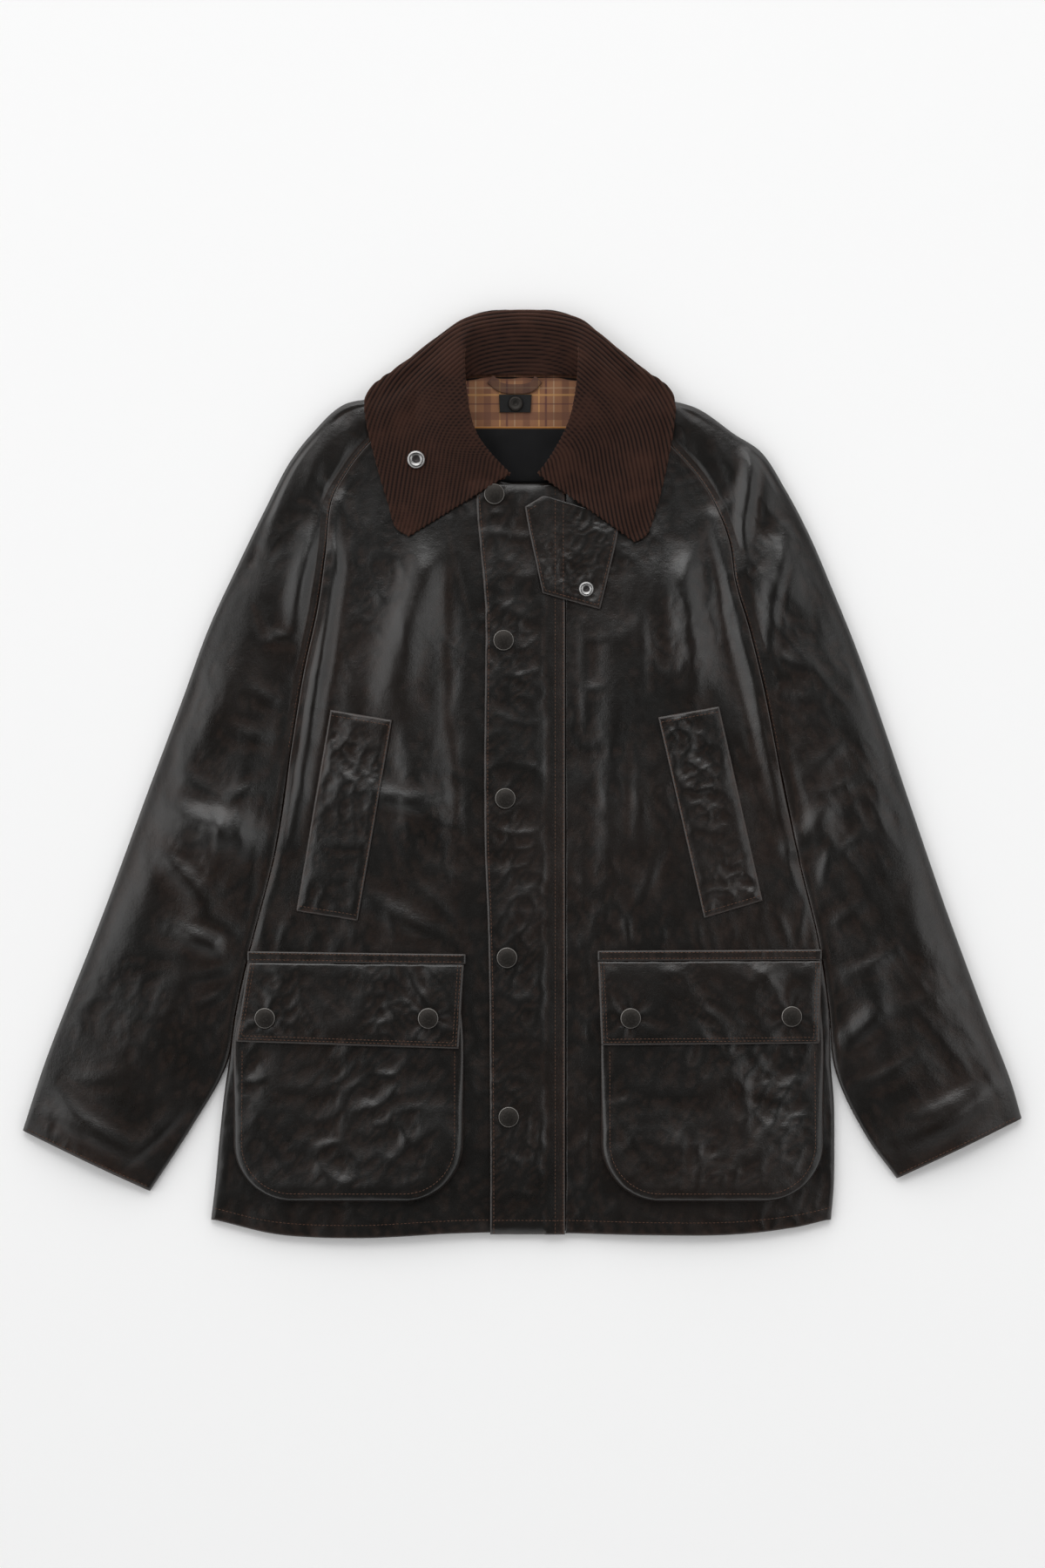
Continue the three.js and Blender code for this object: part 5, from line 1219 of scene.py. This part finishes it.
class JACKET_OT_neck(bpy.types.Operator):
    """Line the neck, with its label, tape and hanging loop"""

    bl_idname = "jacket.neck"
    bl_label = "Neck lining and label"

    def execute(self, context):
        thickness = thickness_of(context, "lining")
        pieces = (
            ("lining_yoke", LINING_CORNERS, thickness, "check_lining", "check_lining", 1.6, 4),
            ("label", LABEL_CORNERS, 0.7, "label_cloth", "black_tape", 2.0, 3),
            ("tape_tab", TAPE_CORNERS, 1.1, "black_tape", "black_tape", 0.8, 2),
        )
        for node, corners, thick, finish, slot, cell, soft in pieces:
            grid = laid_over(quad(corners, cell), thick, 2, soft)
            x, y = grid[..., 0], grid[..., 1]
            gap = edge_gap(grid, ALL_EDGES)
            if node != "tape_tab":
                grid[..., 2] += rumple(x, y, 31, 24, 0.3) * smooth(0, 8, gap)
            grid[..., 2] -= edge_drop(gap, reach=1.5)
            binding = smooth(1.9, 1.4, edge_gap(grid, ["high"])) * (node == "label")
            piece = shell(node + "_cloth", grid, thick, finish_of(finish), node, slot, [], down=True,
                          extra={"binding": binding})
            laid.add(grid)
        self.loop(context)
        return {"FINISHED"}

    def loop(self, context):
        route = curve(LOOP_ROUTE, np.linspace(0, 1, 40))
        level = laid.rest(np.array([-6.0]), np.array([340.0]), 8, 2)[0] + REST_GAP + 0.9
        angle = np.linspace(0, 2 * np.pi, 24, endpoint=False)
        way = np.gradient(route, axis=0)
        way /= np.linalg.norm(way, axis=1, keepdims=True)
        side = np.stack([-way[:, 1], way[:, 0]], axis=1)
        width, height = 1.2 + 4.2 * np.cos(angle), 0.9 * np.sin(angle) * (1 + 0.25 * np.cos(2 * angle))
        xy = route[:, None] + side[:, None] * width[None, :, None]
        points = np.dstack([xy, np.broadcast_to(level + height, xy.shape[:2])])
        first, last = (np.repeat(ring.mean(axis=0)[None, None], 24, 1) for ring in points[[0, -1]])
        points = np.concatenate([first, points, last])
        faces = grid_faces(42, 24, wrapped=True)[:, ::-1]
        darker = {"darker": np.full(points.size // 3, 0.72)}
        piece = make_piece("hang_loop_cloth", points.reshape(-1, 3), faces, [finish_of("check_lining")],
                           attributes=darker)
        settle(piece, ["hang_loop"])


class JACKET_OT_fronts(bpy.types.Operator):
    """Lay both fronts on the back"""

    bl_idname = "jacket.fronts"
    bl_label = "Fronts"

    def execute(self, context):
        cell = cell_of(context)
        thickness = thickness_of(context, "waxed")
        sides = (
            ("front_right", RIGHT_SLEEVE, RIGHT_SIDE, RIGHT_HEM, RIGHT_NECK, UNDER_FLY_X, -1),
            ("front_left", LEFT_SLEEVE, LEFT_SIDE, LEFT_HEM, LEFT_NECK, FLY_SEAM_X + SEAM_GAP, 1),
        )
        for node, sleeve, side, hem, neck, centre_x, outwards in sides:
            grid = front_grid(sleeve, side, hem, neck, centre_x, outwards, cell)
            worn = ["first" if outwards < 0 else "last", "low"]
            piece = waxed_piece(node, grid, thickness, worn)
        hems = np.array(RIGHT_HEM[:-1] + LEFT_HEM, float)
        sewn_lines.append(curve(hems, np.linspace(0, 1, 80)) + (0, 11))
        return {"FINISHED"}


class JACKET_OT_sleeves(bpy.types.Operator):
    """Lay both sleeves out from their raglan seams"""

    bl_idname = "jacket.sleeves"
    bl_label = "Sleeves"

    def execute(self, context):
        cell = cell_of(context)
        thickness = thickness_of(context, "waxed")
        for node, table, mirrored in (
            ("sleeve_right", RIGHT_SLEEVE, False), ("sleeve_left", LEFT_SLEEVE, True),
        ):
            grid = sleeve_grid(table, cell, 51 if mirrored else 41)
            piece = waxed_piece(node, grid, thickness, ["low", "last"],
                                laid_part=slice(grid.shape[1] // 3, None), mirrored=mirrored)
            rows = np.array(table, float)
            self.seams(rows)
        return {"FINISHED"}

    def seams(self, rows):
        shares = np.linspace(0, 1, 160)
        inner, outer = curve(rows[:, :2], shares), curve(rows[:, 2:], shares)
        joined = inner[:, 1] > UNDERARM_Y + 8
        sewn_lines.append(mix(inner, outer, 0.022)[joined])
        way = (inner[-1] - inner[-12]) / np.linalg.norm(inner[-1] - inner[-12])
        sewn_lines.append(np.linspace(inner[-1] - way * 3, outer[-1] - way * 3, 30)[1:-1])


class JACKET_OT_fly(bpy.types.Operator):
    """Lay the storm fly over the closed front"""

    bl_idname = "jacket.fly"
    bl_label = "Storm fly"

    def execute(self, context):
        cell = min(cell_of(context), 2.0)
        thickness = thickness_of(context, "doubled")
        free = evenly(FLY_EDGE, np.linspace(0, 1, int(FLY_SIZE[1] / cell)))
        seam = np.stack([np.full(len(free), FLY_SEAM_X), free[:, 1]], axis=1)
        places = between(free, seam, int(FLY_SIZE[0] / cell))
        grid = laid_over(places, thickness, 3, 4)
        x, y = grid[..., 0], grid[..., 1]
        gap = edge_gap(grid, ["first"])
        far = edge_gap(grid, ["last"])
        soft = smooth(0, 6, far)
        grid[..., 2] += (0.4 * creases(FLY_CREASES, x, y) + crumple(x, y, 22, 30, 0.62, 30, 1.4)) * soft
        grid[..., 2] += puckers(y + PAST_HEM, np.abs(gap - 2.5), 8, 10, 0.4, 9)
        grid[..., 2] += puckers(y + PAST_HEM, np.abs(far - 8), 9, 11, 0.3, 8) * soft
        grid[..., 2] += rumple(x, y, 21, 40, 0.14) * soft
        grid[..., 2] -= edge_drop(gap)
        bridge = TOP_LEVEL + BRIDGE_RISE + smooth(0, BRIDGE, far)
        grid[..., 2] = np.where(far < BRIDGE, np.maximum(grid[..., 2], bridge), grid[..., 2])
        piece = waxed_piece("fly", grid, thickness, OPEN_EDGES, down=True)
        sewn_lines.append(free + (3.0, 0))
        for offset in (1.5, 8.5):
            sewn_lines.append(seam + (-offset, 0))
        return {"FINISHED"}


class JACKET_OT_handwarmers(bpy.types.Operator):
    """Sew on the handwarmer pockets"""

    bl_idname = "jacket.handwarmers"
    bl_label = "Handwarmer pockets"

    def execute(self, context):
        thickness = thickness_of(context, "waxed")
        for number, (node, corners) in enumerate(HANDWARMERS.items()):
            grid = laid_over(quad(corners, 1.8), thickness, 3, 4)
            x, y = grid[..., 0], grid[..., 1]
            gap = edge_gap(grid, ALL_EDGES)
            soft = smooth(0, 7, gap)
            grid[..., 2] += 0.35 * creases(HANDWARMER_CREASES, x, y) * soft
            grid[..., 2] += (crumple(x, y, 61 + number, 30, 0.7, 35, 1.3) + 1.0) * soft
            grid[..., 2] += puckers(x - y + PAST_HEM, gap, 63 + number, 10, 0.25, 8) * smooth(0, 2, gap)
            grid[..., 2] -= edge_drop(gap)
            piece = waxed_piece(node, grid, thickness, ALL_EDGES, down=True)
            upper_left, upper_right, lower_left, lower_right = (np.array(c, float) for c in corners)
            centre = (upper_left + lower_right) / 2
            ring = np.array([upper_left, upper_right, lower_right, lower_left, upper_left])
            ring = centre + (ring - centre) * (1 - 2.4 / 45)
            opening = 3 if number == 0 else 1
            for edge in range(4):
                if edge == opening:
                    continue
                sewn_lines.append(np.linspace(ring[edge], ring[edge + 1], 20))
        return {"FINISHED"}


def bag_gap(x, y, left, right, top, height, corner):
    """Distance inwards from the rounded outline of a bag; its top edge doesn't count."""
    low = top - height
    half = (right - left) / 2
    px = np.abs(x - (left + right) / 2) - (half - corner)
    py = (low + corner) - y
    round_gap = corner - np.hypot(np.maximum(px, 0), np.maximum(py, 0))
    return np.where((px > 0) & (py > 0), round_gap, np.minimum(corner - px, y - low))


def bag_places(left, right, top, height, corner, spare, cell):
    """A grid of places inside the bag's outline, grown by its gusset."""
    low = top - height - spare
    radius = corner + spare
    rows = np.concatenate([
        low + radius * (1 - np.cos(np.linspace(0, np.pi / 2, int(radius * 1.5 / cell)))),
        np.linspace(low + radius, top, int((top - low - radius) / cell))[1:],
    ])
    inset = radius - np.sqrt(np.maximum(radius**2 - np.maximum(low + radius - rows, 0) ** 2, 0))
    tuck = smooth(top - 68, top - 8, rows)
    first = np.stack([left - spare + inset + tuck * (12 if left < 0 else 3), rows], axis=1)
    last = np.stack([right + spare - inset - tuck * 4, rows], axis=1)
    return between(first, last, int((right - left) / cell))


class JACKET_OT_pockets(bpy.types.Operator):
    """Sew on the bellows pockets with their flaps and bands"""

    bl_idname = "jacket.pockets"
    bl_label = "Bellows pockets"

    def execute(self, context):
        cell = cell_of(context)
        waxed, doubled = thickness_of(context, "waxed"), thickness_of(context, "doubled")
        for number, (node, outline) in enumerate(BAGS.items()):
            self.bag(node, outline, waxed, cell, number)
        for number, (node, corners) in enumerate(FLAPS.items()):
            self.flap(node, corners, doubled, number)
        for number, (node, corners) in enumerate(BANDS.items()):
            self.band(node, corners, doubled, number)
        return {"FINISHED"}

    def bag(self, node, outline, thickness, cell, number):
        left, right, top, height, _ = outline
        places = bag_places(*outline, GUSSET, min(cell, BAG_CELL))
        x, y = places[..., 0], places[..., 1]
        gap = bag_gap(x, y, *outline)
        lift = mix(*BAG_LIFT, 1 - smooth(top - height, top - FLAP_DROP, y))
        rise = np.interp(gap, *np.array(BAG_RISE).T)
        soft = smooth(3, 16, gap)
        z = laid.rest(x, y, 4, 6) + REST_GAP + thickness + lift * rise
        z += 0.45 * creases(POCKET_CREASES, x, y) * soft + rumple(x, y, 71 + number, 70, 0.4) * soft
        z += crumple(x, y, 73 + number, 38, 0.8, 40, 1.5) * soft
        run = np.arctan2(y - top + height / 2, x - (left + right) / 2) * 95 + PAST_HEM
        gathers = puckers(run, np.abs(gap - 3), 75 + number, 13, 0.5, 12)
        z += gathers * smooth(-1, 2, gap) * smooth(-250, -270, y)
        grid = np.stack([x, y, z], axis=-1)
        piece = waxed_piece(node, grid, thickness, OPEN_EDGES, down=True)
        sewn_lines.append(self.rim(outline, 4.5))

    def rim(self, outline, inwards):
        left, right, top, height, corner = outline
        radius = corner - inwards
        turn = np.linspace(0, np.pi / 2, 24)
        low = top - height
        first = (left + corner, low + corner) - radius * np.stack([np.cos(turn), np.sin(turn)], 1)
        last = (right - corner, low + corner) + radius * np.stack([np.sin(turn), -np.cos(turn)], 1)
        start, end = [(left + inwards, top - FLAP_DROP)], [(right - inwards, top - FLAP_DROP)]
        return np.concatenate([start, first, last, end])

    def flap(self, node, corners, thickness, number):
        grid = laid_over(quad(corners, 2.0), thickness, 3, 4)
        x, y = grid[..., 0], grid[..., 1]
        gap = edge_gap(grid, OPEN_EDGES)
        soft = smooth(0, 8, gap)
        dents = rumple(x, y, 81 + number, 60, 0.25) + crumple(x, y, 83 + number, 34, 0.55, 60)
        grid[..., 2] += dents * soft
        for snap_x, snap_y in FLAP_SNAPS:
            away = np.hypot(x - snap_x, y - snap_y)
            turn = np.arctan2(y - snap_y, x - snap_x)
            drag = np.sin(5 * turn + snap_x) + 0.6 * np.sin(8 * turn + 2 * snap_x)
            grid[..., 2] += 0.32 * drag * np.exp(-((away - 14) / 13) ** 2) * soft
            grid[..., 2] -= 0.7 * np.exp(-((away / 15) ** 2))
        gathers = puckers(x + PAST_SIDE, np.abs(gap - 4), 85 + number, 13, 0.25, 8)
        grid[..., 2] += gathers * smooth(0, 2, gap)
        grid[..., 2] -= edge_drop(gap)
        piece = waxed_piece(node, grid, thickness, OPEN_EDGES, down=True)
        a, b, c, d = (np.array(corner, float) for corner in corners)
        for inwards in (2.6, 5.2):
            first, last = c + (inwards, inwards), d + (-inwards, inwards)
            line = [a + (inwards, 0), first, last, b + (-inwards, 0)]
            parts = [np.linspace(p, q, 30) for p, q in zip(line[:-1], line[1:])]
            sewn_lines.append(np.concatenate(parts))

    def band(self, node, corners, thickness, number):
        grid = laid_over(quad(corners, 1.6), thickness, 2, 2.5)
        x = grid[..., 0]
        gap = edge_gap(grid, ["low", "high"])
        grid[..., 2] = mix(grid[..., 2], grid[..., 2].mean(axis=0), 0.85)
        grid[..., 2] += puckers(x + PAST_SIDE, gap, 91 + number, 9, 0.3, 6) - edge_drop(gap, 0.1)
        piece = waxed_piece(node, grid, thickness, ["low", "high"], down=True)
        a, b, c, d = (np.array(corner, float) for corner in corners)
        for share in (0.2, 0.8):
            sewn_lines.append(np.linspace(mix(c, a, share), mix(d, b, share), 60)[1:-1])


class JACKET_OT_throat_tab(bpy.types.Operator):
    """Lay the throat tab beside the fly"""

    bl_idname = "jacket.throat_tab"
    bl_label = "Throat tab"

    def execute(self, context):
        thickness = thickness_of(context, "doubled")
        counts = enumerate((20, 20, 15, 12))
        rows = np.concatenate([np.linspace(k, k + 1, n, endpoint=False) for k, n in counts])
        left = straight(TAB_LEFT, rows)
        right = straight(TAB_RIGHT, rows)
        grid = laid_over(between(left, right, 46), thickness, 3, 4)
        x, y = grid[..., 0], grid[..., 1]
        gap = edge_gap(grid, OPEN_EDGES)
        soft = smooth(0, 6, gap)
        grid[..., 2] += (crumple(x, y, 95, 30, 0.55, 20) + 0.6) * soft
        grid[..., 2] += puckers(x + y + 200, gap, 96, 10, 0.22, 8) * smooth(0, 2, gap)
        grid[..., 2] -= edge_drop(gap, 0.2, 1.6)
        piece = waxed_piece("throat_tab", grid, thickness, OPEN_EDGES, down=True)
        line = np.concatenate([left[::-1][6:], right[:-6]])
        centre = line.mean(axis=0)
        sewn_lines.append(centre + (line - centre) * (1 - 3.2 / 42))
        return {"FINISHED"}


def straight(points, places):
    """Points on a straight-sided edge; 1.5 is halfway between the second and third point."""
    p = np.array(points, float)
    return np.stack([np.interp(places, np.arange(len(p)), p[:, i]) for i in range(2)], axis=1)


class JACKET_OT_collar(bpy.types.Operator):
    """Turn the corduroy collar over its roll and lay its wings down"""

    bl_idname = "jacket.collar"
    bl_label = "Corduroy collar"

    def execute(self, context):
        sizes = context.scene.jacket_cloth
        thickness, pitch = sizes.corduroy / MM, sizes.wale_pitch / MM
        grid, span = collar_grid(280, thickness)
        x, y = grid[..., 0], grid[..., 1]
        gap = edge_gap(grid, ["first", "last", "high"])
        line = curve(WALE_LINE, np.linspace(0, 1, 110))
        away, _, _ = nearest(line, x, y)
        drift = rumple(x, y, 101, 60, 0.25)
        wale = np.abs(np.sin(np.pi * (away + drift) / pitch)) ** 1.1
        upper = smooth(6 / 7, 5 / 7, span)[:, None]
        sewn = 1 - 0.55 * np.exp(-(((gap - 5) / 1.3) ** 2))
        grid += grid_normals(grid) * (sizes.wale_height / MM * (wale - 0.5) * sewn * upper)[..., None]
        grid[..., 2] = np.maximum(grid[..., 2], 0)
        piece = shell("collar_cloth", grid, thickness, finish_of("corduroy"), "collar", "corduroy",
                      [], extra={"wale": wale})
        laid.add(grid)
        return {"FINISHED"}


def set_metal(name, node, profile, centre, finishes, bands):
    """A turned metal piece, seated where its solid sits or on the cloth below it."""
    low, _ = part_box(node)
    reach = profile[1][0] * 0.7
    rest = laid.rest(np.array([float(centre[0])]), np.array([float(centre[1])]), reach, 1.5)[0]
    z = max(rest - 0.2, low.z / MM - 1.5)
    piece = lathe(name, profile, centre, z, [finish_of(f) for f in finishes], bands)
    return settle(piece, [node])


def set_caps(stem, centres):
    """A row of snap caps, numbered from 1."""
    for number, centre in enumerate(centres, 1):
        set_metal(f"{stem}_cap_{number}", f"{stem}_{number}", CAP_PROFILE,
                  centre, ["cap_rim", "cap_lacquer"], [5])


class JACKET_OT_fly_snaps(bpy.types.Operator):
    """Set the five snap caps of the fly"""

    bl_idname = "jacket.fly_snaps"
    bl_label = "Fly snaps"

    def execute(self, context):
        set_caps("fly_snap", FLY_SNAPS)
        return {"FINISHED"}


class JACKET_OT_flap_snaps(bpy.types.Operator):
    """Set the four snap caps of the pocket flaps"""

    bl_idname = "jacket.flap_snaps"
    bl_label = "Flap snaps"

    def execute(self, context):
        set_caps("flap_snap", FLAP_SNAPS)
        return {"FINISHED"}


class JACKET_OT_studs(bpy.types.Operator):
    """Set the ring studs of the tab, the collar and the tape"""

    bl_idname = "jacket.studs"
    bl_label = "Ring studs"

    def execute(self, context):
        wing = [(radius * 1.21, height) for radius, height in STUD_PROFILE]
        set_metal("tab_socket_ring", "tab_socket", STUD_PROFILE, TAB_SOCKET,
                  ["silver", "stud_hole"], [8])
        set_metal("collar_stud_ring", "collar_stud", wing, COLLAR_STUD,
                  ["silver", "stud_hole"], [8])
        set_metal("tape_stud_ring", "tape_stud", STUD_PROFILE, TAPE_STUD,
                  ["cap_lacquer"], [])
        return {"FINISHED"}


class JACKET_OT_stitches(bpy.types.Operator):
    """Sew every row of stitches"""

    bl_idname = "jacket.stitches"
    bl_label = "Stitching"

    def execute(self, context):
        sizes = context.scene.jacket_sewing
        context.view_layer.update()
        depsgraph = context.evaluated_depsgraph_get()
        pitch, half = sizes.pitch / MM, sizes.length / MM / 2
        centres, ways = [], []
        for line in sewn_lines:
            points = along(line, pitch)
            if len(points) < 3:
                continue
            way = np.gradient(points, axis=0)
            centres.append(points)
            ways.append(way / np.maximum(np.linalg.norm(way, axis=1, keepdims=True), 1e-9))
        centres, ways = np.concatenate(centres), np.concatenate(ways)
        rng = np.random.default_rng(7)
        turn = rng.normal(0, 0.05, len(ways))
        ways = np.stack([ways[:, 0] - turn * ways[:, 1], ways[:, 1] + turn * ways[:, 0]], axis=1)
        ends = [centres - ways * half, centres, centres + ways * half]
        heights, kept = self.heights(context.scene, depsgraph, ends)
        thread = sizes.thread / MM
        ring = np.array([(-1, 0), (0, 1), (1, 0), (0, -0.6)]) * thread / 2
        side = np.stack([-ways[:, 1], ways[:, 0]], axis=1)
        shares = ((-1, 0.25), (-0.5, 1.05), (0.5, 1.05), (1, 0.25))
        blocks = []
        for share, size in shares:
            towards = heights[0] if share < 0 else heights[2]
            height = mix(heights[1], towards, abs(share))
            middle = centres + ways * half * share
            for off, up in ring:
                xy = middle + side * (off * size)
                z = height + (up * size) + 0.16 * (1 - share**2) - 0.05
                blocks.append(np.concatenate([xy, z[:, None]], axis=1))
        points = np.array(blocks).reshape(4, 4, len(centres), 3).transpose(2, 0, 1, 3)[kept]
        one = np.concatenate([grid_faces(4, 4, wrapped=True), [[3, 2, 1, 0], [12, 13, 14, 15]]])
        faces = (one[None] + 16 * np.arange(len(points))[:, None, None]).reshape(-1, 4)
        piece = make_piece("stitching", points.reshape(-1, 3), faces, [finish_of("thread")])
        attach(piece, "root")
        return {"FINISHED"}

    def heights(self, scene, depsgraph, ends):
        """Height of the cloth under each point, and whether the stitch lies on waxed cotton."""
        down = Vector((0, 0, -1))
        rows, kept = [], np.ones(len(ends[0]), bool)
        for points in ends:
            row = np.zeros(len(points))
            for number, (x, y) in enumerate(points):
                above = Vector((x * MM, y * MM, 0.06))
                hit, spot, _, _, thing, _ = scene.ray_cast(depsgraph, above, down)
                if not hit or "cloth" not in thing.name or "collar" in thing.name:
                    kept[number] = False
                    continue
                row[number] = spot.z / MM
            rows.append(row)
        kept &= np.abs(rows[0] - rows[2]) < 2.2
        return rows, kept


class JACKET_OT_stage(bpy.types.Operator):
    """Set the floor, the lights and the camera"""

    bl_idname = "jacket.stage"
    bl_label = "Floor, lights and camera"

    def execute(self, context):
        sizes = context.scene.jacket_studio
        scene = context.scene
        self.floor(scene)
        world = bpy.data.worlds.new("studio")
        scene.world = world
        world.use_nodes = True
        self.sky(world.node_tree, sizes.sky)
        self.light("softbox", (-0.1, 2.4, 3.4), (2.4, 1.4), sizes.softbox)
        self.light("fill_left", (-1.7, 0.1, 2.3), (1.2, 1.2), sizes.fill)
        self.light("fill_right", (1.7, -0.1, 2.3), (1.2, 1.2), sizes.fill)
        camera = bpy.data.cameras.new("camera")
        camera.sensor_width = 36
        camera.lens = 18 * sizes.height / (sizes.view_height / 2)
        camera.clip_end = 50
        holder = bpy.data.objects.new("camera", camera)
        holder.location = (0, sizes.centre_y, sizes.height)
        scene.collection.objects.link(holder)
        scene.camera = holder
        scene.view_settings.view_transform = "Standard"
        return {"FINISHED"}

    def sky(self, tree, strength):
        """Even light all round, dark straight above and strongest beyond the collar."""
        nodes, links = tree.nodes, tree.links
        split = nodes.new("ShaderNodeSeparateXYZ")
        links.new(nodes.new("ShaderNodeTexCoord").outputs["Generated"], split.inputs[0])
        ranges = (
            ("Z", 0.95, 0.45, 0.0, 1.0), ("Y", -0.75, 0.85, 0.65, 1.3), ("X", -0.8, 0.8, 1.2, 0.75),
        )
        parts = []
        for axis, *numbers in ranges:
            part = nodes.new("ShaderNodeMapRange")
            set_range(part, numbers)
            links.new(split.outputs[axis], part.inputs["Value"])
            parts.append(part.outputs["Result"])
        product = parts[0]
        for part in parts[1:]:
            step = nodes.new("ShaderNodeMath")
            step.operation = "MULTIPLY"
            links.new(product, step.inputs[0])
            links.new(part, step.inputs[1])
            product = step.outputs[0]
        scaled = nodes.new("ShaderNodeMath")
        scaled.operation = "MULTIPLY"
        links.new(product, scaled.inputs[0])
        scaled.inputs[1].default_value = strength
        links.new(scaled.outputs[0], nodes["Background"].inputs["Strength"])
        nodes["Background"].inputs["Color"].default_value = (1, 1, 1, 1)

    def floor(self, scene):
        half = 6000.0
        points = np.array([(-half, -half, 0), (half, -half, 0), (half, half, 0), (-half, half, 0)])
        points[:, 2] = -0.3
        shade = Shade("floor_paper")
        tint = tuple(scene.jacket_colours.floor)
        grain = shade.noise(60, 2)
        colour = shade.blend(grain, tint, tuple(c * 0.995 for c in tint))
        shade.surface.inputs["Specular IOR Level"].default_value = 0.1
        paper = shade.finish(colour, 0.9)
        make_piece("floor", points, np.array([[0, 1, 2, 3]]), [paper])

    def light(self, name, spot, size, power):
        light = bpy.data.lights.new(name, "AREA")
        light.shape = "RECTANGLE"
        light.size, light.size_y = size
        light.energy = power
        holder = bpy.data.objects.new(name, light)
        holder.location = spot
        holder.rotation_euler = (Vector((0, 0, 0)) - Vector(spot)).to_track_quat("-Z", "Y").to_euler()
        bpy.context.scene.collection.objects.link(holder)


OPERATORS = (
    JACKET_OT_stage, JACKET_OT_back, JACKET_OT_neck, JACKET_OT_fronts, JACKET_OT_sleeves,
    JACKET_OT_fly, JACKET_OT_handwarmers, JACKET_OT_pockets, JACKET_OT_throat_tab,
    JACKET_OT_fly_snaps, JACKET_OT_collar, JACKET_OT_flap_snaps, JACKET_OT_studs,
    JACKET_OT_stitches,
)
GROUPS = (
    ("jacket_cloth", ClothSizes), ("jacket_sewing", SewingSizes), ("jacket_colours", JacketColours),
    ("jacket_studio", StudioSizes),
)


class JACKET_PT_panel(bpy.types.Panel):
    bl_label = "Waxed cotton jacket"
    bl_idname = "JACKET_PT_panel"
    bl_space_type = "VIEW_3D"
    bl_region_type = "UI"
    bl_category = "Jacket"

    def draw(self, context):
        for attribute, group in GROUPS:
            box = self.layout.box()
            for name in group.__annotations__:
                box.prop(getattr(context.scene, attribute), name)
        for operator in OPERATORS:
            self.layout.operator(operator.bl_idname)


def register():
    for attribute, group in GROUPS:
        bpy.utils.register_class(group)
        setattr(bpy.types.Scene, attribute, bpy.props.PointerProperty(type=group))
    for operator in OPERATORS:
        bpy.utils.register_class(operator)
    bpy.utils.register_class(JACKET_PT_panel)


def unregister():
    bpy.utils.unregister_class(JACKET_PT_panel)
    for operator in reversed(OPERATORS):
        bpy.utils.unregister_class(operator)
    for attribute, group in reversed(GROUPS):
        delattr(bpy.types.Scene, attribute)
        bpy.utils.unregister_class(group)


def main():
    register()
    bpy.ops.jacket.stage()
    bpy.ops.jacket.back()
    bpy.ops.jacket.neck()
    bpy.ops.jacket.fronts()
    bpy.ops.jacket.sleeves()
    bpy.ops.jacket.fly()
    bpy.ops.jacket.handwarmers()
    bpy.ops.jacket.pockets()
    bpy.ops.jacket.throat_tab()
    bpy.ops.jacket.fly_snaps()
    bpy.ops.jacket.collar()
    bpy.ops.jacket.flap_snaps()
    bpy.ops.jacket.studs()
    bpy.ops.jacket.stitches()


if __name__ == "__main__":
    main()
